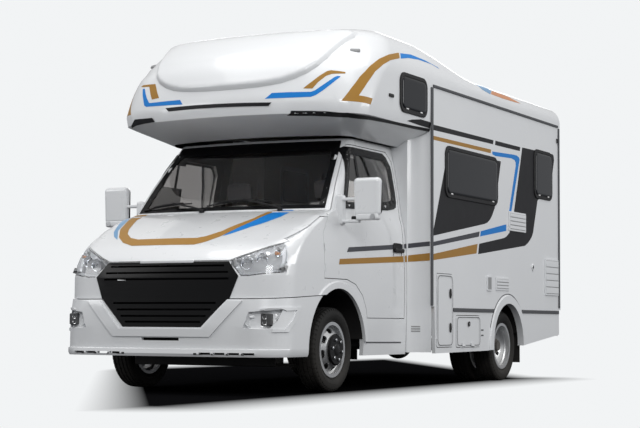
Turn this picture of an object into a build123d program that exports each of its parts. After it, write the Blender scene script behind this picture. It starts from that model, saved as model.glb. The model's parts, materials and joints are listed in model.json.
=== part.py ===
"""Overcab motorhome on a twin-rear-wheel van chassis, in millimetres.

X runs forward, Y to the vehicle's left and Z up. The origin lies on the ground, midway between the
foremost and rearmost points and on the centre plane. The driver and the service lockers are on the
left side, the entrance door on the right.
"""
from build123d import *
from math import cos, sin, pi, radians
import os

os.makedirs("parts", exist_ok=True)

# ---- overall sizes ------------------------------------------------------------------------------
length = 5990
front_overhang = 1080
wheelbase = 3300
front_x = length / 2
rear_x = -length / 2
front_axle_x = front_x - front_overhang
rear_axle_x = front_axle_x - wheelbase
panel_gap = 6                   # shut line round doors and lids
seat_gap = 0.3                  # between pieces that lie against each other
running_gap = 0.08              # round pins

# ---- wheels and axles ---------------------------------------------------------------------------
tyre_r = 338
tyre_width = 196
tyre_wall = 13
rim_flange_r = 222
rim_width = 164
rim_t = 7
disc_t = 10
rim_holes = 8
front_flange_y = 950            # outer rim flange of a front wheel
rear_flange_y = 1112            # outer rim flange of the outer twin
twin_spacing = 252
axle_z = tyre_r
front_hub_r = 70
cap_r = 127
cap_t = 15
rear_hub_r = 78
spindle_r = 30
rear_stub_r = 45
kingpin_y = 745
kingpin_r = 15
knuckle_half_h = 118
arm_t = 22
beam_half = 434

# ---- chassis ------------------------------------------------------------------------------------
rail_y0, rail_y1 = 350, 420
rail_z0, rail_z1 = 430, 590
rail_t = 7
rail_front_x, rail_rear_x = 2700, -2880
tow_t = 10
tow_hole_r = 7
tow_spacing_y, tow_spacing_z = 120, 60
tow_z = 510
firewall_x = 2120
firewall_t = 12

# ---- cab ----------------------------------------------------------------------------------------
cab_half_w = 1000
cab_rear_x = 600
cab_wall = 36
top_drop = 16                   # makes the sloping bonnet thicker than its plan inset would
cab_floor_z = 600
cab_floor_t = 12
sill_z = 285
waist_z = 1460
cab_roof_z = 2095
glass_t = 6
glass_inset = 7
door_front_x = 2149
door_rear_x = 652
door_bottom_z = 596
door_top_z = 2035
bonnet_rear_x = 2050
cowl_gap = 14                   # room for the bonnet's rear edge as it swings
front_arch_r = 483
flare_w = 60
flare_t = 12
arch_drop = 5                   # the front arch is centred this far above the axle
bumper_rear_r = 500             # the bumper ends on a circle round the front wheel
bumper_top_z = 742
bumper_wall = 30
grille_t = 26
lamp_depth = 56
pillar_w = 62

# ---- coach body ---------------------------------------------------------------------------------
coach_half_w = 1175
coach_front_x = 465
coach_rear_x = -2930
wall_t = 32
floor_top_z = 700
floor_t = 50
side_top_z = 2656
skirt_top_z = 700
rear_arch_r = 425
rear_arch_rise = 10
rear_flare_r = 485
rear_flare_t = 14
well_y = 612                    # inner face of the rear wheel wells
roof_z = 2850
roof_side_r = 170
roof_wall = 36
alcove_lip_z = 2240
alcove_wall = 30
bed_t = 30
window_r = 70
window_bulge = 18
frame_lap = 18

# ---- hinges -------------------------------------------------------------------------------------
pin_r = 3.5
eye_r = 7
lug_r = 8
lug_t = 9
hinge_h = 52


# ---- helpers ------------------------------------------------------------------------------------
def block(x0, x1, y0, y1, z0, z1):
    """A box between two corners."""
    return Pos((x0 + x1) / 2, (y0 + y1) / 2, (z0 + z1) / 2) * Box(x1 - x0, y1 - y0, z1 - z0)


def mirrored(shape):
    """The same piece on the other side of the centre plane."""
    return mirror(shape, about=Plane.XZ)


def pair(shape):
    """A left piece and its right twin."""
    return [shape, mirrored(shape)]


def outline(points, plane, by=0):
    """A closed outline on a plane through the origin, moved out by a margin."""
    face = plane * make_face(Polyline(*points, close=True))
    return offset(face, by, kind=Kind.INTERSECTION) if by else face


side_plane = Plane(origin=(0, 0, 0), x_dir=(1, 0, 0), z_dir=(0, -1, 0))
front_plane = Plane(origin=(0, 0, 0), x_dir=(0, 1, 0), z_dir=(1, 0, 0))


def side_prism(points, y0, y1, by=0):
    """Extrudes an outline of (x, z) points between two side planes."""
    return Pos(0, y0, 0) * extrude(outline(points, side_plane, by), amount=y1 - y0, dir=(0, 1, 0))


def front_prism(points, x0, x1, by=0):
    """Extrudes an outline of (y, z) points from one cross plane to another."""
    return Pos(x0, 0, 0) * extrude(outline(points, front_plane, by), amount=x1 - x0, dir=(1, 0, 0))


def side_disc(x, z, radius, y0, y1):
    """A cylinder across the vehicle."""
    return Pos(x, (y0 + y1) / 2, z) * Rot(90, 0, 0) * Cylinder(radius, y1 - y0)


def save(name, *shapes):
    """Writes one node."""
    solids = [s for shape in shapes for s in shape.solids()]
    export_step(solids[0] if len(solids) == 1 else Compound(children=solids), f"parts/{name}.step")


# ---- hinges: lugs and pin on the fixed side, an eye on the moving side ----------------------------
def hinge_set(plane, reach=panel_gap + 12):
    """Lugs with their pin, the eye, and the notch in the moving panel. The pin lies on the plane's Z;
    the fixed panel is on the plane's +X side, within reach of the pin, and +Y points outwards."""
    half = hinge_h / 2
    lugs = Cylinder(pin_r, hinge_h)
    for z in (half - lug_t / 2, lug_t / 2 - half):
        lugs += Pos(0, 0, z) * Cylinder(lug_r, lug_t)
        lugs += Pos(reach / 2, -4, z) * Box(reach, 8, lug_t)
    eye_h = hinge_h - 2 * lug_t - 2 * seat_gap
    eye = Cylinder(eye_r, eye_h) + Pos(-8, -eye_r / 2, 0) * Box(16, eye_r, eye_h)
    eye -= Cylinder(pin_r + running_gap, eye_h)
    notch = block(-14, 30, -17, 30, -half - 3, half + 3)
    return plane * lugs, plane * eye, plane * notch


def hang(fixed, moving, planes, reach=panel_gap + 12):
    """Joins a moving panel to a fixed one with a hinge on each plane."""
    for plane in planes:
        lugs, eye, notch = hinge_set(plane, reach)
        moving = moving - notch + eye
        fixed = fixed + lugs
    return fixed, moving


# ---- body forms: lofts through plan outlines at rising heights ------------------------------------
def plan_outline(z, nose_x, bow, half_w, radius, back_x, inset=0):
    """Bowed front, rounded front corners, straight sides and flat back, at height z."""
    nose, half = nose_x - inset, half_w - inset
    corner = nose - bow
    front = ThreePointArc((corner, -half), (nose, 0), (corner, half))
    rest = Polyline((corner, half), (back_x, half), (back_x, -half), (corner, -half))
    face = make_face([front, rest])
    tips = [v for v in face.vertices() if v.X > (back_x + corner) / 2]
    return Pos(0, 0, z) * fillet(tips, max(radius - inset, 20))


def form(rows, back_x, inset=0, bottom=None, top=None):
    """A loft through a table of plan outlines. bottom and top move its end heights."""
    rows = [list(r) for r in rows]
    if bottom is not None:
        rows[0][0] = bottom
    if top is not None:
        rows[-1][0] = top
    return loft([plan_outline(*r, back_x, inset) for r in rows], ruled=True)


# height, nose, bow, half width, corner radius
cab_lower_rows = [
    (sill_z, 2930, 60, 985, 300),
    (520, 2935, 60, 996, 290),
    (760, 2925, 56, cab_half_w, 280),
    (900, 2915, 50, cab_half_w, 270),
    (1000, 2892, 50, 1000, 270),
    (1060, 2850, 50, 998, 260),
    (1130, 2762, 50, 994, 225),
    (1190, 2655, 50, 990, 170),
    (1300, 2440, 48, 982, 120),
    (1400, 2200, 50, 970, 95),
    (waist_z, 2025, 80, 952, 90),
]
cab_upper_rows = [
    (waist_z, 2025, 80, 952, 90),
    (1700, 1835, 84, 918, 95),
    (1900, 1665, 90, 882, 100),
    (cab_roof_z, 1495, 95, 840, 110),
]
bumper_rows = [
    (290, 2985, 70, 990, 250),
    (312, front_x, 72, 1000, 260),
    (345, 2990, 72, 1003, 260),
    (352, 2966, 66, 1003, 260),
    (520, 2972, 64, 1004, 280),
    (660, 2962, 62, 1004, 290),
    (bumper_top_z + 40, 2938, 60, 1003, 290),
]
alcove_rows = [
    (alcove_lip_z, 2090, 250, 1160, 270),
    (2318, 2113, 265, 1173, 290),
    (2412, 2088, 265, 1174, 340),
    (2500, 2055, 260, coach_half_w, 390),
    (2597, 2005, 250, coach_half_w, 440),
    (side_top_z, 1965, 245, coach_half_w, 480),
    (2706, 1915, 240, 1171, 520),
    (2760, 1865, 236, 1160, 515),
    (2815, 1800, 225, 1138, 495),
    (2880, 1710, 200, 1105, 470),
    (2950, 1600, 170, 1058, 420),
    (3000, 1490, 130, 1004, 360),
    (3040, 1370, 90, 930, 320),
    (3068, 1220, 70, 820, 280),
    (3085, 1050, 40, 650, 200),
]
alcove_under_rows = [
    (cab_roof_z + 1, 1560, 120, 905, 180),
    (2130, 1700, 140, 960, 220),
    (2175, 1880, 190, 1040, 240),
    (2215, 2020, 230, 1115, 260),
    (alcove_lip_z - seat_gap, 2088, 250, 1158, 270),
]

cab_lower = form(cab_lower_rows, cab_rear_x)
cab_upper = form(cab_upper_rows, cab_rear_x)
lower_shell = cab_lower - Pos(0, 0, -top_drop) * form(cab_lower_rows, cab_rear_x - 10, cab_wall,
                                                      bottom=sill_z - 20, top=waist_z + top_drop + 2)
upper_shell = cab_upper - form(cab_upper_rows, cab_rear_x - 10, cab_wall, top=cab_roof_z - cab_wall)
cab_shape = lower_shell + upper_shell

# ---- wheels -------------------------------------------------------------------------------------
bead_r = rim_flange_r - 19
well_r = rim_flange_r - 36


def about_axle(points):
    """Revolves an outline of (radius, offset along Y) points about Y."""
    return revolve(make_face(Polyline(*points, close=True)), Axis.Y, 360)


def tyre(x, y):
    """A tyre about the wheel's centre plane at y."""
    h = tyre_width / 2
    b = rim_width / 2 - 10
    half_outline = [
        (bead_r + 0.6, b - 14), (bead_r + 0.6, b), (rim_flange_r + 0.8, b + 3),
        (rim_flange_r + 14, h - 12),
        (tyre_r - 62, h), (tyre_r - 24, h - 6), (tyre_r - 6, h - 22), (tyre_r, h - 46),
    ]
    inner = [(tyre_r - tyre_wall, h - 46), (tyre_r - 60, h - tyre_wall), (rim_flange_r + 12, h - 26)]
    points = half_outline + [(r, -a) for r, a in reversed(half_outline)]
    points += [(r, -a) for r, a in reversed(inner)] + inner
    return Pos(x, y, axle_z) * about_axle(points)


def rim(x, y, out, disc_at, dish, hole_at, hole_size, hub_r):
    """A steel wheel. out is +1 where its outside faces left; disc_at is the disc's offset from the
    centre plane where it meets the barrel, and dish how far its middle stands further out. The hand
    holes lie on the radius hole_at."""
    h = rim_width / 2
    barrel_half = [(rim_flange_r, h - 6), (bead_r, h - 9), (bead_r, h - 40), (well_r, h - 52)]
    inner_half = [(rim_flange_r, h), (bead_r - rim_t, h), (bead_r - rim_t, h - 36),
                  (well_r - rim_t, h - 46)]
    barrel = [(r, -a) for r, a in barrel_half] + barrel_half[::-1]
    barrel += inner_half + [(r, -a) for r, a in inner_half[::-1]]
    ring_r = well_r - rim_t + 1
    face = [(ring_r, 0), (ring_r - 22, 0.45), (ring_r - 60, 0.86), (hub_r + 24, 1), (hub_r, 1)]
    disc = [(r, disc_at + share * dish) for r, share in face]
    disc += [(r, a - disc_t) for r, a in disc[::-1]]
    wheel = about_axle(barrel) + about_axle(disc)
    hole = Pos(hole_at, 0, 0) * Rot(90, 0, 90) * extrude(SlotOverall(*hole_size), rim_width, both=True)
    for n in range(rim_holes):
        wheel -= Rot(0, 360 * (n + 0.28) / rim_holes, 0) * hole
    if out < 0:
        wheel = mirrored(wheel)
    return Pos(x, y, axle_z) * wheel


front_wheel_y = front_flange_y - rim_width / 2
outer_twin_y = rear_flange_y - rim_width / 2
inner_twin_y = outer_twin_y - twin_spacing
front_disc_at, front_dish = 40, 66
rear_disc_at, rear_dish = 30, -62
front_tyre = tyre(front_axle_x, front_wheel_y)
front_rim = rim(front_axle_x, front_wheel_y, 1, front_disc_at, front_dish, 152, (66, 36), front_hub_r)
rear_tyres = [tyre(rear_axle_x, y) for y in (outer_twin_y, inner_twin_y)]
rear_disc = (rear_disc_at, rear_dish, 134, (46, 36), rear_hub_r)
outer_rim = rim(rear_axle_x, outer_twin_y, 1, *rear_disc)
inner_rim = rim(rear_axle_x, inner_twin_y, -1, *rear_disc)

# ---- front axle: knuckles, hubs, beam and wishbones -----------------------------------------------
spindle_root_y = kingpin_y + 66
hub_face_y = front_wheel_y + front_disc_at + front_dish - disc_t
cap_y = hub_face_y + disc_t + seat_gap
fx = front_axle_x
knuckle = block(fx - 34, fx + 34, kingpin_y - 26, kingpin_y + 26, axle_z - knuckle_half_h,
                axle_z + knuckle_half_h)
knuckle += side_disc(fx, axle_z, 74, kingpin_y + 20, spindle_root_y - 6)
knuckle += side_disc(fx, axle_z, spindle_r, kingpin_y + 50, hub_face_y + 4)
knuckle += block(fx - 210, fx - 20, kingpin_y - 24, kingpin_y + 6, axle_z - 78, axle_z - 50)
hub = side_disc(fx, axle_z, front_hub_r + 18, spindle_root_y, hub_face_y - seat_gap)
hub += side_disc(fx, axle_z, front_hub_r - seat_gap, spindle_root_y, cap_y + 1)
cap = side_disc(fx, axle_z, cap_r, cap_y, cap_y + cap_t)
hub += chamfer(cap.faces().sort_by(Axis.Y)[-1].edges(), cap_t - 4)
hub -= side_disc(fx, axle_z, spindle_r + seat_gap, spindle_root_y - 20, hub_face_y + 5)


def wishbone(z, y_in, y_out, spread):
    """A triangular arm from the beam to the knuckle."""
    points = [(fx - spread, y_in), (fx - spread + 60, y_in), (fx, y_out - 110), (fx + spread - 60, y_in),
              (fx + spread, y_in), (fx + 28, y_out - 6), (fx - 28, y_out - 6)]
    return Pos(0, 0, z) * extrude(make_face(Polyline(*points, close=True)), amount=arm_t)


low_arm_z = axle_z - knuckle_half_h - arm_t - seat_gap
high_arm_z = axle_z + knuckle_half_h + seat_gap
kingpin = Pos(fx, kingpin_y, axle_z) * Cylinder(kingpin_r, high_arm_z + arm_t - low_arm_z - 4)
knuckle += kingpin
beam_z0, beam_z1 = 196, 330
suspension = block(fx - 130, fx + 130, -beam_half, beam_half, beam_z0, beam_z1)
suspension -= block(fx - 118, fx + 118, -beam_half - 1, beam_half + 1, beam_z0 + 12, beam_z1 - 12)
arm_end_y = kingpin_y + 38
arms = [wishbone(low_arm_z, beam_half - 8, arm_end_y, 150),
        wishbone(high_arm_z, beam_half - 8, arm_end_y, 110),
        block(fx - 110, fx + 110, rail_y1 + seat_gap, beam_half, beam_z0 + 4, high_arm_z + arm_t)]
for arm in arms:
    for side in pair(arm):
        suspension += side
for side in pair(Pos(fx, kingpin_y, axle_z) * Cylinder(kingpin_r + running_gap, 2 * knuckle_half_h + 100)):
    suspension -= side

# ---- chassis frame --------------------------------------------------------------------------------
floor_z0 = floor_top_z - floor_t
rail = block(rail_rear_x, rail_front_x, rail_y0, rail_y1, rail_z0, rail_z1)
rail -= block(rail_rear_x - 1, rail_front_x + 1, rail_y0 - 1, rail_y1 - rail_t,
              rail_z0 + rail_t, rail_z1 - rail_t)
frame = rail + mirrored(rail)
for x in (2660, 1500, 520, -420, -900, -1900, -2300):
    frame += block(x - 35, x + 35, -rail_y1 + rail_t - 1, rail_y1 - rail_t + 1, rail_z0 + 30, rail_z1 - 30)
frame += block(rail_rear_x, rail_rear_x + tow_t, -rail_y1, rail_y1, rail_z0, rail_z1)
for y in (-tow_spacing_y / 2, tow_spacing_y / 2):
    for z in (tow_z - tow_spacing_z / 2, tow_z + tow_spacing_z / 2):
        frame -= Pos(rail_rear_x, y, z) * Rot(0, 90, 0) * Cylinder(tow_hole_r, 4 * tow_t)
for x in (380, -250, -760, -2050, -2650):
    frame += block(x - 25, x + 25, -1080, 1080, rail_z1 - 1, floor_z0 - seat_gap)
pads = [block(x - 40, x + 40, rail_y0, rail_y1, rail_z1 - 1, cab_floor_z - seat_gap)
        for x in (680, 1300, 1980)]
pads.append(block(fx - 110, fx + 110, rail_y0 + 10, rail_y1 - 8, beam_z1 + seat_gap, rail_z0 + 1))
for pad in pads:
    for side in pair(pad):
        frame += side

# ---- rear axle with its leaf springs --------------------------------------------------------------
spring_y0, spring_y1 = 455, 525
spring_z = 402
leaf_t = 11
rx = rear_axle_x
rear_hub_face = outer_twin_y + rear_disc_at + rear_dish - disc_t
axle = side_disc(rx, axle_z, 52, -inner_twin_y + 70, inner_twin_y - 70)
axle += Pos(rx, 0, axle_z) * Sphere(140) + Pos(rx + 150, 0, axle_z) * Rot(0, 90, 0) * Cylinder(55, 160)
axle_pieces = [side_disc(rx, axle_z, rear_stub_r, inner_twin_y - 80, rear_hub_face + 90),
               block(rx - 70, rx + 70, spring_y0 - 12, spring_y1 + 12, axle_z + 12,
                     spring_z - 3 * leaf_t + 2)]
for n, half in enumerate((620, 500, 380, 240)):
    leaf_z = spring_z - n * leaf_t
    axle_pieces.append(block(rx - half, rx + half, spring_y0, spring_y1, leaf_z - 1, leaf_z + leaf_t))
for x in (rx - 600, rx + 600):
    axle_pieces.append(block(x - 22, x + 22, rail_y1 + seat_gap, spring_y1, spring_z + 2, 520))
for piece in axle_pieces:
    for side in pair(piece):
        axle += side
twin_hub = side_disc(rx, axle_z, rear_hub_r - seat_gap, inner_twin_y - 62, rear_hub_face + 60)
twin_hub = chamfer(twin_hub.faces().sort_by(Axis.Y)[-1].edges(), 10)
twin_hub -= side_disc(rx, axle_z, rear_stub_r + seat_gap, inner_twin_y - 90, rear_hub_face + 91)

# ---- engine, tank, exhaust ------------------------------------------------------------------------
engine_points = [(firewall_x + 22, 440), (2600, 440), (2600, 900), (2510, 1010), (firewall_x + 22, 1010)]
engine = side_prism(engine_points, -240, 240)
for side in pair(block(2350, 2430, 230, rail_y1 - rail_t - seat_gap, 470, 520)):
    engine += side
tank = block(600, 1340, rail_y1 + 12, rail_y1 + 342, 330, 560)
tank = fillet(tank.edges().filter_by(Axis.X), 50)
for x in (760, 1180):
    tank += block(x - 25, x + 25, rail_y1 + seat_gap, rail_y1 + 20, 440, 500)
pipe_y, pipe_z, pipe_r = -560, 395, 28
tail_x = -805
exhaust = Pos(-300, pipe_y, pipe_z) * Rot(0, 90, 0) * Cylinder(85, 620)
exhaust += Pos(700, pipe_y, pipe_z) * Rot(0, 90, 0) * Cylinder(pipe_r, 1400)
exhaust += Pos(-700, pipe_y, pipe_z) * Rot(0, 90, 0) * Cylinder(pipe_r, 220)
exhaust += side_disc(tail_x, pipe_z, pipe_r, -1135, pipe_y + 25)
exhaust -= side_disc(tail_x, pipe_z, pipe_r - 4, -1200, -1000)
for x in (100, -500):
    exhaust += block(x - 12, x + 12, -600, -rail_y1 - seat_gap, 470, 500)
    exhaust += block(x - 12, x + 12, -600, -540, pipe_z, 500)

# ---- cab: openings and panels ---------------------------------------------------------------------
# (x, z) outlines seen from the left
door_points = [(door_front_x, 905), (door_front_x, 1258), (1530, door_top_z), (735, door_top_z),
               (door_rear_x, 1960), (door_rear_x, door_bottom_z), (1378, door_bottom_z), (1395, 665),
               (1470, 780), (1600, 868), (1760, 905)]
window_points = [(1690, 1515), (1480, 1975), (810, 1975), (745, 1900), (745, 1600), (900, 1560)]
# (y, z) outlines seen from the front
screen_points = [(-868, 1478), (868, 1478), (760, 2040), (-760, 2040)]
grille_points = [(-363, 512), (363, 512), (585, 735), (650, 900), (552, 1016), (-552, 1016), (-650, 900),
                 (-585, 735)]
lamp_face_points = [(556, 1018), (980, 1186), (1060, 1200), (1060, 930), (980, 930), (672, 893)]
lamp_side_points = [(2612, 1230), (2752, 900), (3100, 900), (3100, 1230)]
bonnet_face_points = [(-549, 1024), (549, 1024), (1060, 1226), (1060, 1700), (-1060, 1700), (-1060, 1226)]
bonnet_side_points = [(bonnet_rear_x, 1394), (2140, 1394), (2605, 1192), (2640, 1000), (3100, 1000),
                      (3100, 1700), (bonnet_rear_x, 1700)]
bumper_side_points = [(2100, 250), (3100, 250), (3100, 716), (2100, bumper_top_z + 26)]

front_arch = side_disc(fx, axle_z + arch_drop, front_arch_r, 500, 1100)
flare = side_disc(fx, axle_z + arch_drop, front_arch_r + flare_w, cab_half_w - 8, cab_half_w + flare_t)
flare = chamfer(flare.faces().sort_by(Axis.Y)[-1].edges(), flare_t - 1)
flare = flare - front_arch - side_prism(bumper_side_points, 900, 1100, panel_gap)
flare = flare & block(0, 3000, 900, 1100, 400, 1000)
bonnet_zone = front_prism(bonnet_face_points, 1900, 3100) & side_prism(bonnet_side_points, -1100, 1100)
bonnet_hole = (front_prism(bonnet_face_points, 1900, 3100, panel_gap)
               & side_prism(bonnet_side_points, -1100, 1100, panel_gap))
bonnet_hole += block(bonnet_rear_x - cowl_gap, bonnet_rear_x, -1060, 1060, 1394 - panel_gap, 1700)
screen_hole = front_prism(screen_points, 1300, 2300)
pillar_outer = front_prism(screen_points, 1300, 2300, pillar_w)
pillar_inner = front_prism(screen_points, 1300, 2300, pillar_w - panel_gap)
grille_hole = front_prism(grille_points, 2600, 3100, seat_gap)
lamp_zone = front_prism(lamp_face_points, 2500, 3100) & side_prism(lamp_side_points, 500, 1100)
lamp_hole = (front_prism(lamp_face_points, 2500, 3100, seat_gap)
             & side_prism(lamp_side_points, 500, 1100, seat_gap))
bumper_hole = side_prism(bumper_side_points, -1100, 1100, panel_gap)

door = lower_shell & side_prism(door_points, 880, 1100)
door += upper_shell & side_prism(door_points, 760, 1100)
door = door - pillar_outer - bonnet_hole
door -= side_prism(window_points, 500, 1100)
glass_shell = (form(cab_upper_rows, cab_rear_x - 5, glass_inset)
               - form(cab_upper_rows, cab_rear_x - 5, glass_inset + glass_t))
door_glass = glass_shell & side_prism(window_points, 500, 1100, -seat_gap)
windscreen = glass_shell & front_prism(screen_points, 1400, 2300, -seat_gap)
bonnet = lower_shell & bonnet_zone

cab = cab_shape
low_hole = side_prism(door_points, 880 - panel_gap, 1100, panel_gap) & block(0, 3000, 0, 1100, 0, waist_z)
high_hole = side_prism(door_points, 700, 1100, panel_gap) & block(0, 3000, 0, 1100, waist_z, 3000)
for side in pair((low_hole + high_hole) - pillar_inner - bonnet_zone):
    cab -= side
for side in pair(flare):
    cab += side
for side in pair(front_arch):
    cab -= side
for side in pair(lamp_hole):
    cab -= side
cab = cab - bonnet_hole - screen_hole - grille_hole - bumper_hole
inner_half = cab_half_w - cab_wall
floor_sizes = [(firewall_x + firewall_t, 560), (1400, inner_half - 14),
               (door_rear_x - panel_gap, inner_half)]
for x, half in floor_sizes:
    cab += block(cab_rear_x, x, -half, half, cab_floor_z, cab_floor_z + cab_floor_t)
cab += block(firewall_x, firewall_x + firewall_t, -560, 560, cab_floor_z, 1300)
for side in pair(block(cab_rear_x, 1400, 900, inner_half + 4, door_bottom_z - 40, door_bottom_z - 20)):
    cab += side
for side in pair(block(cab_rear_x, 1400, 900, 930, door_bottom_z - 40, cab_floor_z + 1)):
    cab += side

door_pin = (door_front_x - 6, cab_half_w - 4)
door_hinges = [Plane(origin=(*door_pin, z), x_dir=(1, 0, 0), z_dir=(0, 0, 1)) for z in (985, 1150)]
cab, door = hang(cab, door, door_hinges)
for plane in door_hinges:
    cab += mirrored(hinge_set(plane)[0])
bonnet_pin_x, bonnet_pin_z = bonnet_rear_x + 8, 1436
bonnet_hinges = [Plane(origin=(bonnet_pin_x, y, bonnet_pin_z), x_dir=(-0.949, 0, 0.314), z_dir=(0, 1, 0))
                 for y in (-500, 500)]
cab, bonnet = hang(cab, bonnet, bonnet_hinges, reach=32)

# ---- front end: bumper, grille, lamps -------------------------------------------------------------
fog_points = [(715, 505), (760, 628), (972, 648), (948, 560), (905, 498)]
bumper = form(bumper_rows, 2100) - form(bumper_rows, 2090, bumper_wall, bottom=280, top=bumper_top_z + 50)
bumper = bumper & side_prism(bumper_side_points, -1100, 1100)
for side in pair(side_disc(fx, axle_z + arch_drop, bumper_rear_r, 500, 1100)):
    bumper -= side
bumper -= grille_hole
bumper -= block(2100, 2100 + panel_gap, -1100, 1100, 200, 900)
for side in pair(front_prism(fog_points, 2500, 3100)):
    bumper -= side
bumper -= block(2800, 3100, -170, 170, 410, 432)
for n in range(4):
    for side in pair(block(2800, 3100, 360 + n * 120, 460 + n * 120, 306, 322)):
        bumper -= side
grille_rows = [(sill_z + 200, 2948, 50, cab_half_w, 280)] + cab_lower_rows[2:]
grille = form(grille_rows, cab_rear_x - 4, -4)
grille -= form(grille_rows, cab_rear_x - 8, grille_t, bottom=sill_z + 190)
grille = grille & front_prism(grille_points, 2600, 3100)
# height, half width of each slot between the slats
for z, half in ((975, 520), (925, 560), (875, 570), (690, 470), (640, 430), (590, 390), (545, 345)):
    grille -= block(2600, 3100, -half, half, z, z + 15)
lamp_shell = form(cab_lower_rows, cab_rear_x - 4, 3)
lamp_shell -= form(cab_lower_rows, cab_rear_x - 8, lamp_depth, bottom=sill_z - 20)
head_lamp = (lamp_shell & lamp_zone) - bonnet_hole - grille_hole
fog_lamp = (form(bumper_rows, 2190, 14) - form(bumper_rows, 2180, 44, bottom=280, top=bumper_top_z + 50))
fog_lamp = fog_lamp & front_prism(fog_points, 2500, 3100, -seat_gap)

# ---- cab inside -----------------------------------------------------------------------------------
dash_points = [(1700, 900), (1640, 1180), (1760, 1300), (1990, 1345), (firewall_x - seat_gap, 1290),
               (firewall_x - seat_gap, 1000), (1900, 850)]
dash = side_prism(dash_points, -880, 880)
wheel_centre = (1440, 440, 1215)
column_tilt = 55
column_r = 26
steering_place = Pos(*wheel_centre) * Rot(0, -column_tilt, 0)
steering = steering_place * (Torus(205, 15) + Box(400, 34, 12) + Box(34, 400, 12) + Cylinder(70, 30)
                             + Pos(0, 0, -180) * Cylinder(column_r, 360))
dash -= steering_place * Pos(0, 0, -300) * Cylinder(column_r + seat_gap, 600)
seat_z = cab_floor_z + cab_floor_t


def cab_seat(y):
    """Base, cushion, raked back and head rest as one body."""
    seat = block(850, 1330, y - 200, y + 200, seat_z + seat_gap, seat_z + 280)
    seat += block(820, 1370, y - 245, y + 245, seat_z + 260, seat_z + 408)
    back = Pos(840, y, seat_z + 388) * Rot(0, -14, 0) * Pos(0, 0, 310) * Box(120, 480, 640)
    head = Pos(840, y, seat_z + 388) * Rot(0, -14, 0) * Pos(0, 0, 720) * Box(90, 260, 200)
    return seat + back + head


# ---- mirrors on the doors -------------------------------------------------------------------------
mirror_unit = fillet(block(1770, 1860, 1092, 1330, 1370, 1717).edges(), 26)
for z in (1352, 1530):
    mirror_unit += block(1790, 1826, 985, 1110, z, z + 32)
mirror_unit += block(1770, 1846, 920, 1003, 1335, 1590)
for rows in (cab_lower_rows, cab_upper_rows):
    mirror_unit -= form(rows, cab_rear_x, -seat_gap)

# ---- coach walls, windows and doors ---------------------------------------------------------------
inner_y = coach_half_w - wall_t
rear_arch = side_disc(rx, axle_z + rear_arch_rise, rear_arch_r, 600, 1300)
wall = side_prism([(coach_front_x, skirt_top_z), (coach_front_x, side_top_z), (coach_rear_x, side_top_z),
                   (coach_rear_x, skirt_top_z)], inner_y, coach_half_w)
skirt_points = [(380, 290), (400, skirt_top_z - seat_gap), (-2880, skirt_top_z - seat_gap), (-2880, 442),
                (-1757, 334), (-849, 300)]
skirt = side_prism(skirt_points, inner_y, coach_half_w)
arch_flare = side_disc(rx, axle_z + rear_arch_rise, rear_flare_r, coach_half_w + seat_gap,
                       coach_half_w + rear_flare_t)
arch_flare = chamfer(arch_flare.faces().sort_by(Axis.Y)[-1].edges(), rear_flare_t - 4)
arch_flare += side_disc(rx, axle_z + rear_arch_rise, rear_arch_r - 14, coach_half_w - 50, coach_half_w + 1)
arch_flare -= side_disc(rx, axle_z + rear_arch_rise, rear_arch_r - 24, 1000, 1300)
flare_points = [(0, 900), (0, 302), (-849, 302), (-1757, 336), (-2880, 444), (-2880, 900)]
arch_flare = arch_flare & side_prism(flare_points, 1000, 1300)
left_wall, right_wall = wall - rear_arch, mirrored(wall - rear_arch)
left_skirt, right_skirt = skirt - rear_arch, mirrored(skirt - rear_arch)

# rear x, front x, low z, high z
left_window_sizes = [(-1090, 155, 1697, 2129), (-2647, -2141, 1853, 2324)]
right_window_sizes = [(-2560, -1900, 1697, 2129), (-1560, -1000, 1780, 2129)]
alcove_window_size = (590, 1120, 2352, 2660)
tall_locker_size = (-5, 359, 345, 990)
square_locker_size = (-656, -83, 340, 624)
entrance_size = (-640, -30, 380, 2330)
entrance_window_size = (-520, -150, 1600, 2080)


def side_panel(size, radius, by, y0, y1):
    """A rounded rectangular outline on the left side, extruded between two side planes."""
    x0, x1, z0, z1 = size
    panel = block(x0 - by, x1 + by, y0, y1, z0 - by, z1 + by)
    return fillet(panel.edges().filter_by(Axis.Y), radius + by)


def window(size):
    """A bulged acrylic pane whose frame laps the wall's outside."""
    plug = side_panel(size, window_r, -seat_gap, inner_y + 2, coach_half_w + 1)
    lap = side_panel(size, window_r, frame_lap, coach_half_w + seat_gap, coach_half_w + window_bulge)
    return plug + chamfer(lap.faces().sort_by(Axis.Y)[-1].edges(), window_bulge / 2)


windows = []
for size in left_window_sizes:
    left_wall -= side_panel(size, window_r, 0, 1000, 1300)
    windows.append(window(size))
for size in right_window_sizes:
    right_wall -= mirrored(side_panel(size, window_r, 0, 1000, 1300))
    windows.append(mirrored(window(size)))

door_face_y = coach_half_w + 4
corner_r = 24
pin_y = door_face_y - 2


def side_door(size):
    """A flush door or locker lid on the left side."""
    return side_panel(size, corner_r, 0, inner_y, door_face_y)


def door_hole(size):
    """The opening for a side door, with its shut line."""
    return side_panel(size, corner_r, panel_gap, 1000, 1300)


for size in (tall_locker_size, square_locker_size):
    left_wall -= door_hole(size)
    left_skirt -= door_hole(size)
right_wall -= mirrored(door_hole(entrance_size))
right_skirt -= mirrored(door_hole(entrance_size))


def front_hinges(size, heights):
    """Upright hinge pins at a side door's front edge."""
    return [Plane(origin=(size[1] - 2, pin_y, z), x_dir=(1, 0, 0), z_dir=(0, 0, 1)) for z in heights]


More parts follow.
